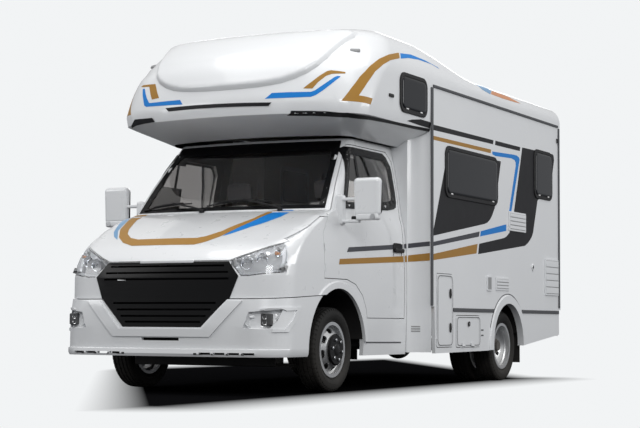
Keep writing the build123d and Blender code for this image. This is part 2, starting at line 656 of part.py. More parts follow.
tall_door = side_door(tall_locker_size)
left_wall, tall_door = hang(left_wall, tall_door, front_hinges(tall_locker_size, (900,)))
left_skirt, tall_door = hang(left_skirt, tall_door, front_hinges(tall_locker_size, (440,)))
low_hinges = [Plane(origin=(x, pin_y, square_locker_size[2] + 2), x_dir=(0, 0, -1), z_dir=(1, 0, 0))
              for x in (-520, -220)]
left_skirt, square_door = hang(left_skirt, side_door(square_locker_size), low_hinges)
entrance_door = side_door(entrance_size) - side_panel(entrance_window_size, window_r, 0, 1000, 1300)
entrance_door += side_panel(entrance_window_size, window_r, 0, inner_y + 8, inner_y + 20)
entrance_hinges = front_hinges(entrance_size, (850, 1500, 2150))
plain_wall, entrance_door = hang(mirrored(right_wall), entrance_door, entrance_hinges)
right_wall, entrance_door = mirrored(plain_wall), mirrored(entrance_door)

# ---- floor, rear wall, wheel liners ---------------------------------------------------------------
floor_half = inner_y - seat_gap
rear_wall = block(coach_rear_x, coach_rear_x + wall_t, -floor_half, floor_half, 480, side_top_z - seat_gap)
floor = block(coach_rear_x + wall_t + seat_gap, coach_front_x, -floor_half, floor_half,
              floor_z0, floor_top_z)
for side in pair(side_disc(rx, axle_z + rear_arch_rise, rear_arch_r, well_y, floor_half + 1)):
    floor -= side
liner_t = 6
liner = side_disc(rx, axle_z + rear_arch_rise, rear_arch_r - seat_gap, well_y + seat_gap, coach_half_w - 10)
liner -= side_disc(rx, axle_z + rear_arch_rise, rear_arch_r - liner_t, well_y + liner_t, coach_half_w)
liner = liner & block(rx - 600, rx + 600, 500, 1300, 460, 900)
rear_flap = block(rx - 470, rx - 462, 690, 1120, 170, floor_z0 - seat_gap)
front_liner = side_disc(fx, axle_z + arch_drop, front_arch_r - seat_gap, 575, cab_half_w - 15)
front_liner -= side_disc(fx, axle_z + arch_drop, front_arch_r - liner_t, 575 + liner_t, cab_half_w)
front_liner = front_liner & block(1300, 2500, 500, 1100, 420, 1000)
front_liner -= block(fx - 190, fx + 190, 500, 700, 400, 520)

# ---- roof, swept up to meet the overcab moulding ----------------------------------------------------
dome_profile = [(half, z) for z, _, _, half, _ in alcove_rows if z >= side_top_z]
steps = len(dome_profile) - 2
roof_profile = [(coach_half_w, side_top_z)]
for n in range(steps + 1):
    angle = n / steps * pi / 2
    roof_profile.append((coach_half_w - roof_side_r * (1 - cos(angle)),
                         roof_z - roof_side_r * (1 - sin(angle))))
# x, share of the dome's profile
roof_sweep = [(coach_rear_x, 0), (-700, 0), (-450, 0.13), (-200, 0.4), (100, 0.77), (350, 0.97),
              (coach_front_x, 1)]


def roof_section(x, share, inset):
    """A cross section of the roof, between the plain roof and the dome."""
    points = []
    for (y0, z0), (y1, z1) in zip(roof_profile, dome_profile):
        drop = inset if z0 > side_top_z else 2 * inset
        points.append((y0 + (y1 - y0) * share - inset, z0 + (z1 - z0) * share - drop))
    points = points + [(-y, z) for y, z in reversed(points)]
    return Pos(x, 0, 0) * outline(points, front_plane)


roof_out = loft([roof_section(x, s, 0) for x, s in roof_sweep], ruled=True)
inner_sweep = [(coach_rear_x + roof_wall, 0)] + roof_sweep[1:-1] + [(coach_front_x + 5, 1)]
roof = roof_out - loft([roof_section(x, s, roof_wall) for x, s in inner_sweep], ruled=True)
roof -= block(coach_rear_x - 5, coach_front_x + 5, -1300, 1300, side_top_z - 50, side_top_z + seat_gap)
hatches = []
for x in (-1150, -2250):
    roof -= block(x - 250, x + 250, -250, 250, roof_z - roof_wall - 5, roof_z + 5)
    hatch = block(x - 280, x + 280, -280, 280, roof_z + seat_gap, roof_z + 80)
    hatches.append(chamfer(hatch.faces().sort_by(Axis.Z)[-1].edges(), 36))

# ---- overcab moulding -------------------------------------------------------------------------------
crest_z = alcove_rows[-1][0]
alcove = form(alcove_rows, coach_front_x)
alcove -= form(alcove_rows, coach_front_x - 5, alcove_wall, bottom=alcove_lip_z - 5,
               top=crest_z - alcove_wall)
bed = block(coach_front_x, 2300, -1300, 1300, alcove_lip_z, alcove_lip_z + bed_t)
alcove += form(alcove_rows[:2], coach_front_x, 6) & bed
for side in pair(side_panel(alcove_window_size, window_r, 0, 1000, 1300)):
    alcove -= side
for side in pair(window(alcove_window_size)):
    windows.append(side)
under = form(alcove_under_rows, coach_front_x)
under -= form(alcove_under_rows, coach_front_x - 10, alcove_wall, bottom=cab_roof_z - 20)

surround_rear_x = coach_front_x + seat_gap
surround_front_x = cab_rear_x - seat_gap
surround_face = make_face([
    Polyline((surround_front_x, cab_half_w + 3), (surround_front_x, 780), (surround_rear_x, 780),
             (surround_rear_x, coach_half_w)),
    ThreePointArc((surround_rear_x, coach_half_w), (coach_front_x + 52, 1062),
                  (surround_front_x, cab_half_w + 3)),
])
surround = Pos(0, 0, 300) * extrude(surround_face, amount=alcove_lip_z - 301)
for rows in (cab_lower_rows, cab_upper_rows, alcove_under_rows):
    surround -= form(rows, coach_front_x - 10, -1)
surround = max(surround.solids(), key=lambda s: s.volume)

# ---- trims, vents, rear bumper, tail lamps --------------------------------------------------------
# rear x, front x, low z, high z, thickness
trim_sizes = [(440, 486, 706, 2626, 10), (-2850, 438, 2630, 2654, 12), (-2860, -1764, 658, 692, 10),
              (-2895, -2862, 720, 2625, 10)]
trims = [t for x0, x1, z0, z1, thick in trim_sizes
         for t in pair(block(x0, x1, coach_half_w, coach_half_w + thick, z0, z1))]
trims.append(block(-1006, -14, coach_half_w, coach_half_w + 10, 658, 692))
trims.append(mirrored(block(-1006, -652, coach_half_w, coach_half_w + 10, 658, 692)))
vent_sizes = [(-2835, -2437, 849, 1229, 14), (-1866, -1408, 1463, 1655, 12), (-1402, -1058, 872, 999, 9)]
vents = [block(x0, x1, coach_half_w, coach_half_w + thick, z0, z1) for x0, x1, z0, z1, thick in vent_sizes]
rear_bumper = block(rear_x, coach_rear_x - seat_gap, -1130, 1130, 430, 600)
rear_bumper = fillet(rear_bumper.edges().filter_by(Axis.Z), 26)
tail_lamps = []
for z in (760, 870, 980):
    lamp = Pos(coach_rear_x - 14, 1060, z) * Rot(0, 90, 0) * Cylinder(46, 28 - 2 * seat_gap)
    tail_lamps += pair(lamp)

# ---- nodes ------------------------------------------------------------------------------------------
nodes = {
    "chassis_frame": [frame], "front_suspension": [suspension], "rear_axle": [axle],
    "engine_block": [engine], "fuel_tank": [tank], "exhaust": [exhaust],
    "cab_shell": [cab], "windscreen": [windscreen], "bonnet": [bonnet],
    "front_bumper": [bumper], "grille": [grille], "lamps": [*pair(head_lamp), *pair(fog_lamp)],
    "dashboard": [dash], "steering_wheel": [steering], "cab_seats": [cab_seat(440), cab_seat(-440)],
    "coach_floor": [floor], "left_side_wall": [left_wall], "right_side_wall": [right_wall],
    "side_skirts": [left_skirt, right_skirt], "rear_wall": [rear_wall], "roof_panel": [roof],
    "rear_arch_flares": pair(arch_flare), "overcab_moulding": [alcove], "overcab_base": [under],
    "cab_surrounds": pair(surround), "coach_windows": windows, "roof_hatches": hatches,
    "arch_liners": [*pair(liner), *pair(rear_flap), *pair(front_liner)], "body_trims": trims,
    "side_vents": vents, "rear_bumper": [rear_bumper], "tail_lamps": tail_lamps,
    "entrance_door": [entrance_door], "tall_locker_door": [tall_door],
    "square_locker_door": [square_door],
}
twin_nodes = {
    "cab_door": [door], "door_glass": [door_glass], "mirror": [mirror_unit], "knuckle": [knuckle],
    "front_tyre": [front_tyre], "front_rim": [front_rim, hub], "rear_tyres": rear_tyres,
    "rear_rims": [outer_rim, inner_rim, twin_hub],
}
for name, shapes in nodes.items():
    save(name, *shapes)
for name, shapes in twin_nodes.items():
    save(name + "_left", *shapes)
    save(name + "_right", *[mirrored(s) for s in shapes])
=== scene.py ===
import bpy
import json
from math import atan2, cos, pi, radians, sin
from mathutils import Matrix, Vector


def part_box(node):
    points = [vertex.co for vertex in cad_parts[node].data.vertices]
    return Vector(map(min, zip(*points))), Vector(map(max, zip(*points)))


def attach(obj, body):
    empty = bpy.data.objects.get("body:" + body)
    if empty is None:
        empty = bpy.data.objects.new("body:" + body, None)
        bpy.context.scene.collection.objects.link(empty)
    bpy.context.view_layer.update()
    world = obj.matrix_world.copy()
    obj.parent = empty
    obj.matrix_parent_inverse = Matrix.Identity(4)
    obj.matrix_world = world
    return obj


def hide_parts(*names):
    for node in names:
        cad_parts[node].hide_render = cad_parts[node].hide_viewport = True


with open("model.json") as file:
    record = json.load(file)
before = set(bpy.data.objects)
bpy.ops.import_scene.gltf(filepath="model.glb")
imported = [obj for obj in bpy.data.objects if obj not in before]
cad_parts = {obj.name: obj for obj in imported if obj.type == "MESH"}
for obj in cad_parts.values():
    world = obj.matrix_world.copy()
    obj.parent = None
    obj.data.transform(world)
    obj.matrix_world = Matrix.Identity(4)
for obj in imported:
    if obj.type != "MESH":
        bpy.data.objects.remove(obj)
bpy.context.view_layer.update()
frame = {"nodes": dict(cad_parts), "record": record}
nodes = frame["nodes"]
sides = {"left": 1, "right": -1}
bodyOf = {node: body for body, names in frame["record"]["behaviour"]["bodies"].items() for node in names}
print("frame loaded:", len(nodes), "nodes")


# small helpers
def deselect():
    if bpy.context.object and bpy.context.object.mode != "OBJECT":
        bpy.ops.object.mode_set(mode="OBJECT")
    bpy.ops.object.select_all(action="DESELECT")


def pick(*pieces):  # selects these alone, the first one active
    deselect()
    for piece in pieces:
        piece.select_set(True)
    bpy.context.view_layer.objects.active = pieces[0]


def edit(piece, mode="FACE"):  # edit mode with nothing selected
    pick(piece)
    bpy.ops.object.mode_set(mode="EDIT")
    bpy.ops.mesh.select_mode(type=mode)
    bpy.ops.mesh.select_all(action="DESELECT")


def leave():
    bpy.ops.object.mode_set(mode="OBJECT")


def chooseAll():
    bpy.ops.mesh.select_all(action="SELECT")


def editAll(piece, mode="FACE"):
    edit(piece, mode)
    chooseAll()


def applyPlace():
    bpy.ops.object.transform_apply(location=True, rotation=True, scale=True)


def addObject(name, data):
    piece = bpy.data.objects.new(name, data)
    bpy.context.scene.collection.objects.link(piece)
    return piece


def solidify(piece, thick, offset=1):
    shell = piece.modifiers.new("shell", "SOLIDIFY")
    shell.thickness, shell.offset = thick, offset


def chooseFaces(piece, test):  # test(centre, normal); edit mode stays on
    leave()
    for face in piece.data.polygons:
        face.select = bool(test(face.center, face.normal))
    for line in piece.data.edges:
        line.select = False
    bpy.ops.object.mode_set(mode="EDIT")


def chooseEdges(piece, test):  # test(end, end)
    leave()
    at = [v.co for v in piece.data.vertices]
    for face in piece.data.polygons:
        face.select = False
    for line in piece.data.edges:
        line.select = bool(test(at[line.vertices[0]], at[line.vertices[1]]))
    bpy.ops.object.mode_set(mode="EDIT")
    bpy.ops.mesh.select_mode(type="EDGE")


def chooseVertices(piece, test):  # test(place)
    edit(piece, "VERT")
    leave()
    for vertex in piece.data.vertices:
        vertex.select = test(vertex.co)
    bpy.ops.object.mode_set(mode="EDIT")


def useModifiers(piece):
    pick(piece)
    for name in [m.name for m in piece.modifiers]:
        bpy.ops.object.modifier_apply(modifier=name)


def smooth(piece, degrees):
    pick(piece)
    bpy.ops.object.shade_smooth_by_angle(angle=radians(degrees))


def settle(piece, name, material, body, degrees=35):  # the last step of every piece
    useModifiers(piece)
    applyPlace()
    smooth(piece, degrees)
    piece.name = piece.data.name = name
    if material is not None:
        piece.data.materials.clear()
        piece.data.materials.append(material)
    evenOut = piece.modifiers.new("evenOut", "WEIGHTED_NORMAL")
    evenOut.keep_sharp = True
    useModifiers(piece)
    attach(piece, body)
    return piece


def join(pieces):
    pick(*pieces)
    bpy.ops.object.join()
    return bpy.context.object


def box(low, high, bevel=0.0, steps=2):  # a block between two corners, its edges rounded
    deselect()
    centre = [(a + b) / 2 for a, b in zip(low, high)]
    bpy.ops.mesh.primitive_cube_add(size=1, location=centre)
    piece = bpy.context.object
    piece.scale = [abs(b - a) for a, b in zip(low, high)]
    applyPlace()
    if bevel:
        editAll(piece, "EDGE")
        bpy.ops.mesh.bevel(offset=bevel, segments=steps, clamp_overlap=True)
        leave()
    return piece


def disc(centre, radius, depth, axis="Y", sides=48, bevel=0.0, steps=2):  # a round with softened rims
    deselect()
    turn = {"X": (0, pi / 2, 0), "Y": (pi / 2, 0, 0), "Z": (0, 0, 0)}[axis]
    bpy.ops.mesh.primitive_cylinder_add(vertices=sides, radius=radius, depth=depth, location=centre, rotation=turn)
    piece = bpy.context.object
    applyPlace()
    if bevel:
        edit(piece, "EDGE")
        k = "XYZ".index(axis)
        chooseEdges(piece, lambda a, b: abs(a[k] - b[k]) < depth / 4)
        bpy.ops.mesh.bevel(offset=bevel, segments=steps, clamp_overlap=True)
        leave()
    return piece


def rod(path, radius, sides=12):  # a round bar through these points
    line = bpy.data.curves.new("rod", "CURVE")
    line.dimensions = "3D"
    line.bevel_depth = radius
    line.bevel_resolution = max(1, sides // 4 - 1)
    line.use_fill_caps = True
    spline = line.splines.new("POLY")
    spline.points.add(len(path) - 1)
    for point, at in zip(spline.points, path):
        point.co = (*at, 1)
    piece = addObject("rod", line)
    pick(piece)
    bpy.ops.object.convert(target="MESH")
    return bpy.context.object


def flat(outline, axis, level, thick=0.0):  # a filled outline of two coordinates, standing across one axis
    order = {"x": lambda a, b: (level, a, b), "y": lambda a, b: (a, level, b), "z": lambda a, b: (a, b, level)}[axis]
    mesh = bpy.data.meshes.new("flat")
    mesh.from_pydata([order(*p) for p in outline], [], [list(range(len(outline)))])
    piece = addObject("flat", mesh)
    if thick:
        editAll(piece)
        move = {"x": (thick, 0, 0), "y": (0, thick, 0), "z": (0, 0, thick)}[axis]
        bpy.ops.mesh.extrude_region_move(TRANSFORM_OT_translate={"value": move})
        chooseAll()
        bpy.ops.mesh.normals_make_consistent(inside=False)
        leave()
    return piece


def roundRect(x0, x1, z0, z1, radius, steps=6):  # an outline with rounded corners
    corners = [(x1 - radius, z1 - radius, 0), (x0 + radius, z1 - radius, 90),
               (x0 + radius, z0 + radius, 180), (x1 - radius, z0 + radius, 270)]
    return [(cx + radius * cos(radians(start + 90 * n / steps)), cz + radius * sin(radians(start + 90 * n / steps)))
            for cx, cz, start in corners for n in range(steps + 1)]


def crossOver(piece):  # moves a piece to the other side of the centre plane
    pick(piece)
    piece.scale.y = -1
    applyPlace()
    editAll(piece)
    bpy.ops.mesh.flip_normals()
    leave()
    return piece


def flipped(piece):  # a mirror twin across the centre plane
    pick(piece)
    bpy.ops.object.duplicate()
    return crossOver(bpy.context.object)


cleaning = {"weld": 0.0002, "sliver": 0.0008, "flatDegrees": 0.25}


def copyNode(*names):  # the CAD shape as one clean mesh of its own
    copies = []
    for name in names:
        deselect()
        nodes[name].hide_set(False)
        piece = nodes[name].copy()
        piece.data = nodes[name].data.copy()
        piece.parent = None
        for key in list(piece.keys()):
            del piece[key]
        bpy.context.scene.collection.objects.link(piece)
        copies.append(piece)
    piece = join(copies) if len(copies) > 1 else copies[0]
    editAll(piece, "VERT")
    bpy.ops.mesh.remove_doubles(threshold=cleaning["weld"])
    bpy.ops.mesh.dissolve_degenerate(threshold=cleaning["sliver"])
    bpy.ops.mesh.dissolve_limited(angle_limit=radians(cleaning["flatDegrees"]))
    bpy.ops.mesh.customdata_custom_splitnormals_clear()
    leave()
    return piece


# shader groups
def newGroup(name, inputs, outputs):
    group = bpy.data.node_groups.new(name, "ShaderNodeTree")
    for label, kind, value in inputs:
        socket = group.interface.new_socket(name=label, in_out="INPUT", socket_type=kind)
        socket.default_value = value
    for label, kind in outputs:
        group.interface.new_socket(name=label, in_out="OUTPUT", socket_type=kind)
    return group, group.nodes.new("NodeGroupInput"), group.nodes.new("NodeGroupOutput")


def addNode(tree, kind, **settings):
    node = tree.nodes.new(kind)
    for key, value in settings.items():
        if key in node.inputs:
            node.inputs[key].default_value = value
        else:
            setattr(node, key, value)
    return node


def feed(tree, sockets, values):  # each value is another node's socket, or a plain setting
    for socket, value in zip(sockets, values):
        if isinstance(value, bpy.types.NodeSocket):
            tree.links.new(value, socket)
        else:
            socket.default_value = value


def mixColour(tree, factor, a, b):
    node = addNode(tree, "ShaderNodeMix", data_type="RGBA")
    feed(tree, [node.inputs[n] for n in (0, 6, 7)], (factor, a, b))
    return node.outputs[2]


def mixShaders(tree, factor, a, b, output):
    node = addNode(tree, "ShaderNodeMixShader")
    feed(tree, node.inputs, (factor, a, b))
    tree.links.new(node.outputs[0], tree.nodes[output].inputs["Surface"])


def useGroup(tree, name, coords, **settings):  # one of the shared shader groups, fed with coordinates
    node = tree.nodes.new("ShaderNodeGroup")
    node.node_tree = groups[name]
    for key, value in settings.items():
        node.inputs[key].default_value = value
    tree.links.new(coords, node.inputs["Vector"])
    return node


def reliefFrom(tree, height, strength):  # fine relief on the material's shader
    bump = addNode(tree, "ShaderNodeBump", Strength=strength, Distance=0.001)
    tree.links.new(height, bump.inputs["Height"])
    tree.links.new(bump.outputs["Normal"], tree.nodes["Principled BSDF"].inputs["Normal"])


def vectorMath(tree, operation, *values):
    node = addNode(tree, "ShaderNodeVectorMath", operation=operation)
    feed(tree, node.inputs, values)
    return node.outputs["Value" if operation == "LENGTH" else "Vector"]


def splitUp(tree, vector):  # the parts of a vector
    node = addNode(tree, "ShaderNodeSeparateXYZ")
    tree.links.new(vector, node.inputs[0])
    return node.outputs


def noise(tree, vector, scale, detail):
    node = addNode(tree, "ShaderNodeTexNoise", Scale=scale, Detail=detail, Roughness=0.55)
    tree.links.new(vector, node.inputs["Vector"])
    return node.outputs["Fac"]


def ramp(tree, value, low, high, a, b):
    node = addNode(tree, "ShaderNodeMapRange")
    feed(tree, node.inputs, (value, low, high, a, b))
    return node.outputs["Result"]


def math(tree, operation, a, b):
    node = addNode(tree, "ShaderNodeMath", operation=operation)
    feed(tree, node.inputs, (a, b))
    return node.outputs[0]


def buildRoadFilm():  # dust that gathers low down, and a slow change of tone and gloss
    group, entry, leaveNode = newGroup("roadFilm", [
        ("Vector", "NodeSocketVector", (0, 0, 0)), ("Colour", "NodeSocketColor", (1, 1, 1, 1)),
        ("Dust", "NodeSocketColor", (0.42, 0.38, 0.33, 1)), ("Amount", "NodeSocketFloat", 0.25),
        ("Height", "NodeSocketFloat", 0.9), ("Gloss", "NodeSocketFloat", 0.1)],
        [("Colour", "NodeSocketColor"), ("Roughness", "NodeSocketFloat")])
    link = group.links.new
    low = ramp(group, splitUp(group, entry.outputs["Vector"])["Z"], 0.15, entry.outputs["Height"], 1.0, 0.0)
    film = math(group, "MULTIPLY", low, noise(group, entry.outputs["Vector"], 3.5, 6))
    film = math(group, "MULTIPLY", film, entry.outputs["Amount"])
    tone = ramp(group, noise(group, entry.outputs["Vector"], 1.3, 3), 0.3, 0.7, 0.97, 1.0)
    scale = addNode(group, "ShaderNodeVectorMath", operation="SCALE")
    link(entry.outputs["Colour"], scale.inputs[0])
    link(tone, scale.inputs["Scale"])
    link(mixColour(group, film, scale.outputs[0], entry.outputs["Dust"]), leaveNode.inputs["Colour"])
    wave = ramp(group, noise(group, entry.outputs["Vector"], 9, 3), 0.3, 0.7, 0.97, 1.04)
    gloss = math(group, "MULTIPLY", entry.outputs["Gloss"], wave)
    link(math(group, "ADD", gloss, math(group, "MULTIPLY", film, 0.5)), leaveNode.inputs["Roughness"])
    return group


def buildGrain():  # fine surface relief: orange peel, moulded grain or cast skin
    group, entry, leaveNode = newGroup("grain", [
        ("Vector", "NodeSocketVector", (0, 0, 0)), ("Scale", "NodeSocketFloat", 600.0),
        ("Depth", "NodeSocketFloat", 0.2)], [("Height", "NodeSocketFloat")])
    texture = addNode(group, "ShaderNodeTexNoise", Detail=3.0)
    group.links.new(entry.outputs["Vector"], texture.inputs["Vector"])
    group.links.new(entry.outputs["Scale"], texture.inputs["Scale"])
    group.links.new(math(group, "MULTIPLY", texture.outputs["Fac"], entry.outputs["Depth"]), leaveNode.inputs["Height"])
    return group


def buildWeave():  # crossed threads for seat cloth
    group, entry, leaveNode = newGroup("weave", [
        ("Vector", "NodeSocketVector", (0, 0, 0)), ("Threads", "NodeSocketFloat", 260.0),
        ("Dark", "NodeSocketColor", (0.05, 0.05, 0.055, 1)), ("Light", "NodeSocketColor", (0.1, 0.1, 0.11, 1))],
        [("Colour", "NodeSocketColor"), ("Height", "NodeSocketFloat")])
    heights = []
    for direction in ("X", "Z"):
        wave = addNode(group, "ShaderNodeTexWave", bands_direction=direction, wave_profile="SIN")
        group.links.new(entry.outputs["Vector"], wave.inputs["Vector"])
        group.links.new(entry.outputs["Threads"], wave.inputs["Scale"])
        heights.append(wave.outputs["Fac"])
    both = math(group, "MAXIMUM", *heights)
    group.links.new(mixColour(group, both, entry.outputs["Dark"], entry.outputs["Light"]), leaveNode.inputs["Colour"])
    group.links.new(both, leaveNode.inputs["Height"])
    return group


groups = {"roadFilm": buildRoadFilm(), "grain": buildGrain(), "weave": buildWeave()}


# materials
def newMaterial(name, colour, roughness, film=0.2, filmHeight=0.9, grainScale=0.0, grainDepth=0.0, **sockets):
    material = bpy.data.materials.new(name)
    material.use_nodes = True
    material.diffuse_color = (*colour, 1)
    tree = material.node_tree
    shader = tree.nodes["Principled BSDF"]
    coords = addNode(tree, "ShaderNodeTexCoord").outputs["Object"]
    skin = useGroup(tree, "roadFilm", coords, Colour=(*colour, 1), Amount=film, Height=filmHeight, Gloss=roughness)
    tree.links.new(skin.outputs["Colour"], shader.inputs["Base Color"])
    tree.links.new(skin.outputs["Roughness"], shader.inputs["Roughness"])
    if grainDepth:
        relief = useGroup(tree, "grain", coords, Scale=grainScale, Depth=1.0)
        reliefFrom(tree, relief.outputs["Height"], grainDepth)
    for key, value in sockets.items():
        shader.inputs[key.replace("_", " ")].default_value = value
    return material


def letLightThrough(material, share):  # panes throw no dark shadow
    tree = material.node_tree
    shadowRay = addNode(tree, "ShaderNodeLightPath").outputs["Is Shadow Ray"]
    clear = addNode(tree, "ShaderNodeBsdfTransparent")
    mixShaders(tree, math(tree, "MULTIPLY", shadowRay, share), tree.nodes["Principled BSDF"].outputs[0],
               clear.outputs[0], "Material Output")
    return material


# name, colour, roughness, dust, dust height, grain scale, grain depth, other sockets
finishes = [
    ("whitePaint", (0.80, 0.815, 0.83), 0.28, 0.04, 0.7, 0, 0, dict(Coat_Weight=1.0, Coat_Roughness=0.04)),
    ("gelCoat", (0.80, 0.815, 0.83), 0.3, 0.04, 0.7, 240, 0.02, dict(Coat_Weight=0.7, Coat_Roughness=0.08)),
    ("glossBlack", (0.003, 0.003, 0.0035), 0.25, 0.02, 0.7, 0, 0, dict(Specular_IOR_Level=0.2)),
    ("blackPlastic", (0.010, 0.010, 0.011), 0.5, 0.1, 0.9, 900, 0.25, dict(Specular_IOR_Level=0.3)),
    ("greyPlastic", (0.32, 0.325, 0.33), 0.45, 0.1, 0.9, 900, 0.2, {}),
    ("darkGrey", (0.06, 0.062, 0.066), 0.55, 0.1, 0.9, 900, 0.3, {}),
    ("rubber", (0.006, 0.006, 0.006), 0.7, 0.1, 0.7, 500, 0.35, dict(Specular_IOR_Level=0.3)),
    ("wheelSilver", (0.66, 0.67, 0.68), 0.3, 0.3, 0.6, 700, 0.06, dict(Metallic=0.85)),
    ("chrome", (0.85, 0.86, 0.87), 0.08, 0.0, 0.3, 0, 0, dict(Metallic=1.0)),
    ("satinAluminium", (0.42, 0.43, 0.45), 0.32, 0.1, 0.6, 500, 0.05, dict(Metallic=0.9)),
    ("chassisPaint", (0.02, 0.02, 0.021), 0.5, 0.5, 1.2, 300, 0.3, {}),
    ("castIron", (0.09, 0.085, 0.08), 0.7, 0.4, 1.4, 220, 0.6, dict(Metallic=0.4)),
    ("pipeSteel", (0.3, 0.28, 0.26), 0.45, 0.4, 1.0, 200, 0.2, dict(Metallic=0.8)),
    ("redLens", (0.35, 0.008, 0.008), 0.12, 0.05, 0.6, 0, 0, dict(Coat_Weight=1.0)),
    ("amberLens", (0.62, 0.2, 0.02), 0.12, 0.05, 0.6, 0, 0, dict(Coat_Weight=1.0)),
    ("smokedPane", (0.005, 0.006, 0.008), 0.1, 0.02, 0.7, 0, 0, dict(Specular_IOR_Level=0.35)),
    ("goldStripe", (0.37, 0.19, 0.032), 0.42, 0.02, 0.6, 0, 0, dict(Specular_IOR_Level=0.3)),
    ("blueStripe", (0.002, 0.20, 0.62), 0.42, 0.02, 0.6, 0, 0, dict(Specular_IOR_Level=0.3)),
    ("blackStripe", (0.010, 0.010, 0.012), 0.5, 0.02, 0.6, 0, 0, dict(Specular_IOR_Level=0.25)),
    ("greyStripe", (0.055, 0.057, 0.068), 0.45, 0.02, 0.6, 0, 0, dict(Specular_IOR_Level=0.3)),
    ("tealStripe", (0.10, 0.30, 0.55), 0.3, 0.03, 0.6, 0, 0, dict(Coat_Weight=0.5, Coat_Roughness=0.08)),
    ("orangeStripe", (0.62, 0.2, 0.03), 0.3, 0.03, 0.6, 0, 0, dict(Coat_Weight=0.5, Coat_Roughness=0.08)),
    ("dashBrown", (0.13, 0.035, 0.018), 0.6, 0.0, 0.6, 900, 0.4, {}),
    ("cabLining", (0.035, 0.032, 0.030), 0.85, 0.0, 0.6, 500, 0.2, {}),
    ("innerLining", (0.33, 0.31, 0.28), 0.8, 0.0, 0.6, 500, 0.2, {}),
    ("plywood", (0.3, 0.2, 0.12), 0.6, 0.3, 0.9, 60, 0.1, {}),
    ("sealGrey", (0.085, 0.088, 0.095), 0.6, 0.05, 0.9, 0, 0, dict(Specular_IOR_Level=0.3)),
]
mats = {name: newMaterial(name, colour, rough, film, height, scale, depth, **extra)
        for name, colour, rough, film, height, scale, depth, extra in finishes}
mats["screenGlass"] = letLightThrough(newMaterial(
    "screenGlass", (0.74, 0.72, 0.70), 0.0, 0.0, Transmission_Weight=1.0, IOR=1.45), 0.85)
mats["lensGlass"] = letLightThrough(newMaterial(
    "lensGlass", (0.97, 0.98, 1.0), 0.0, 0.0, Transmission_Weight=1.0, IOR=1.35), 0.9)


def buildSeatCloth():
    material = newMaterial("seatCloth", (0.07, 0.07, 0.075), 0.85, 0.0)
    tree = material.node_tree
    shader = tree.nodes["Principled BSDF"]
    coords = addNode(tree, "ShaderNodeTexCoord").outputs["Object"]
    cloth = useGroup(tree, "weave", coords)
    tree.links.new(cloth.outputs["Colour"], shader.inputs["Base Color"])
    reliefFrom(tree, cloth.outputs["Height"], 0.4)
    return material


mats["seatCloth"] = buildSeatCloth()
print("materials:", len(mats))


# CAD shapes that are kept, with their real finish
dressing = {  # node: (piece, material, smoothing angle, edge radius), the last two where they differ
    "cab_shell": ("cabBody", "whitePaint"),
    "bonnet": ("bonnetPanel", "whitePaint"),
    "front_bumper": ("bumperShell", "whitePaint"),
    "cab_door_left": ("cabDoorLeft", "whitePaint"),
    "cab_door_right": ("cabDoorRight", "whitePaint"),
    "overcab_moulding": ("overcabShell", "gelCoat", 40),
    "overcab_base": ("overcabUnderside", "gelCoat", 50),
    "roof_panel": ("roofShell", "gelCoat"),
    "cab_surrounds": ("cabSurrounds", "gelCoat"),
    "left_side_wall": ("leftSideWall", "gelCoat"),
    "right_side_wall": ("rightSideWall", "gelCoat"),
    "side_skirts": ("sideSkirts", "gelCoat"),
    "rear_wall": ("rearWall", "gelCoat"),
    "rear_bumper": ("rearBumper", "gelCoat", 30, 0.004),
    "entrance_door": ("entranceDoor", "gelCoat"),
    "tall_locker_door": ("tallLockerDoor", "gelCoat"),
    "square_locker_door": ("squareLockerDoor", "gelCoat"),
    "grille": ("grilleFrame", "glossBlack"),
    "dashboard": ("dashTop", "dashBrown", 30, 0.012),
    "windscreen": ("windscreenPane", "screenGlass"),
    "door_glass_left": ("doorPaneLeft", "screenGlass"),
    "door_glass_right": ("doorPaneRight", "screenGlass"),
    "front_rim_left": ("frontRimLeft", "wheelSilver", 34),
    "front_rim_right": ("frontRimRight", "wheelSilver", 34),
    "rear_rims_left": ("rearRimsLeft", "wheelSilver", 34),
    "rear_rims_right": ("rearRimsRight", "wheelSilver", 34),
    "arch_liners": ("archLiners", "blackPlastic"),
    "body_trims": ("bodyTrims", "sealGrey", 30, 0.003),
    "roof_hatches": ("roofHatches", "gelCoat", 30, 0.006),
    "rear_arch_flares": ("rearArchFlares", "gelCoat"),
    "side_vents": ("sideVents", "gelCoat", 30, 0.004),
    "tail_lamps": ("tailLamps", "redLens", 30, 0.006),
    "steering_wheel": ("steeringWheel", "blackPlastic", 50),
}


def dress(node, name, material, angle=30, edge=0.0):
    piece = copyNode(node)
    if edge:
        soften = piece.modifiers.new("soften", "BEVEL")
        soften.width, soften.segments, soften.limit_method, soften.angle_limit = edge, 2, "ANGLE", radians(35)
    settle(piece, name, mats[material], bodyOf[node], angle)
    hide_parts(node)
    return piece


pieces = {node: dress(node, *row) for node, row in dressing.items()}

kept = {  # nodes that stay as they are, with a finish
    "chassis_frame": "chassisPaint", "front_suspension": "chassisPaint", "rear_axle": "chassisPaint",
    "engine_block": "castIron", "fuel_tank": "blackPlastic", "exhaust": "pipeSteel", "coach_floor": "plywood",
    "knuckle_left": "castIron", "knuckle_right": "castIron",
}
for node, material in kept.items():
    nodes[node].data.materials.clear()
    nodes[node].data.materials.append(mats[material])
print("panels dressed:", len(pieces))


# camera, light and floor
studio = {"place": (13.4138, 6.8480, 0.5456), "yaw": 207.620, "pitch": 3.882, "roll": 0.309, "lens": 90.80,
          "backdrop": (0.887, 0.903, 0.912), "floorRadius": 12.0, "shadowCentre": (1.15, -1.35, 0.0),
          "shadowHalf": (3.3, 2.3, 1.0), "shadowFade": 0.85, "shadowPower": 1.2, "lean": 1.45, "leanFrom": 0.9,
          "skyStrength": 0.47}  # the painted shadow leans back beyond leanFrom
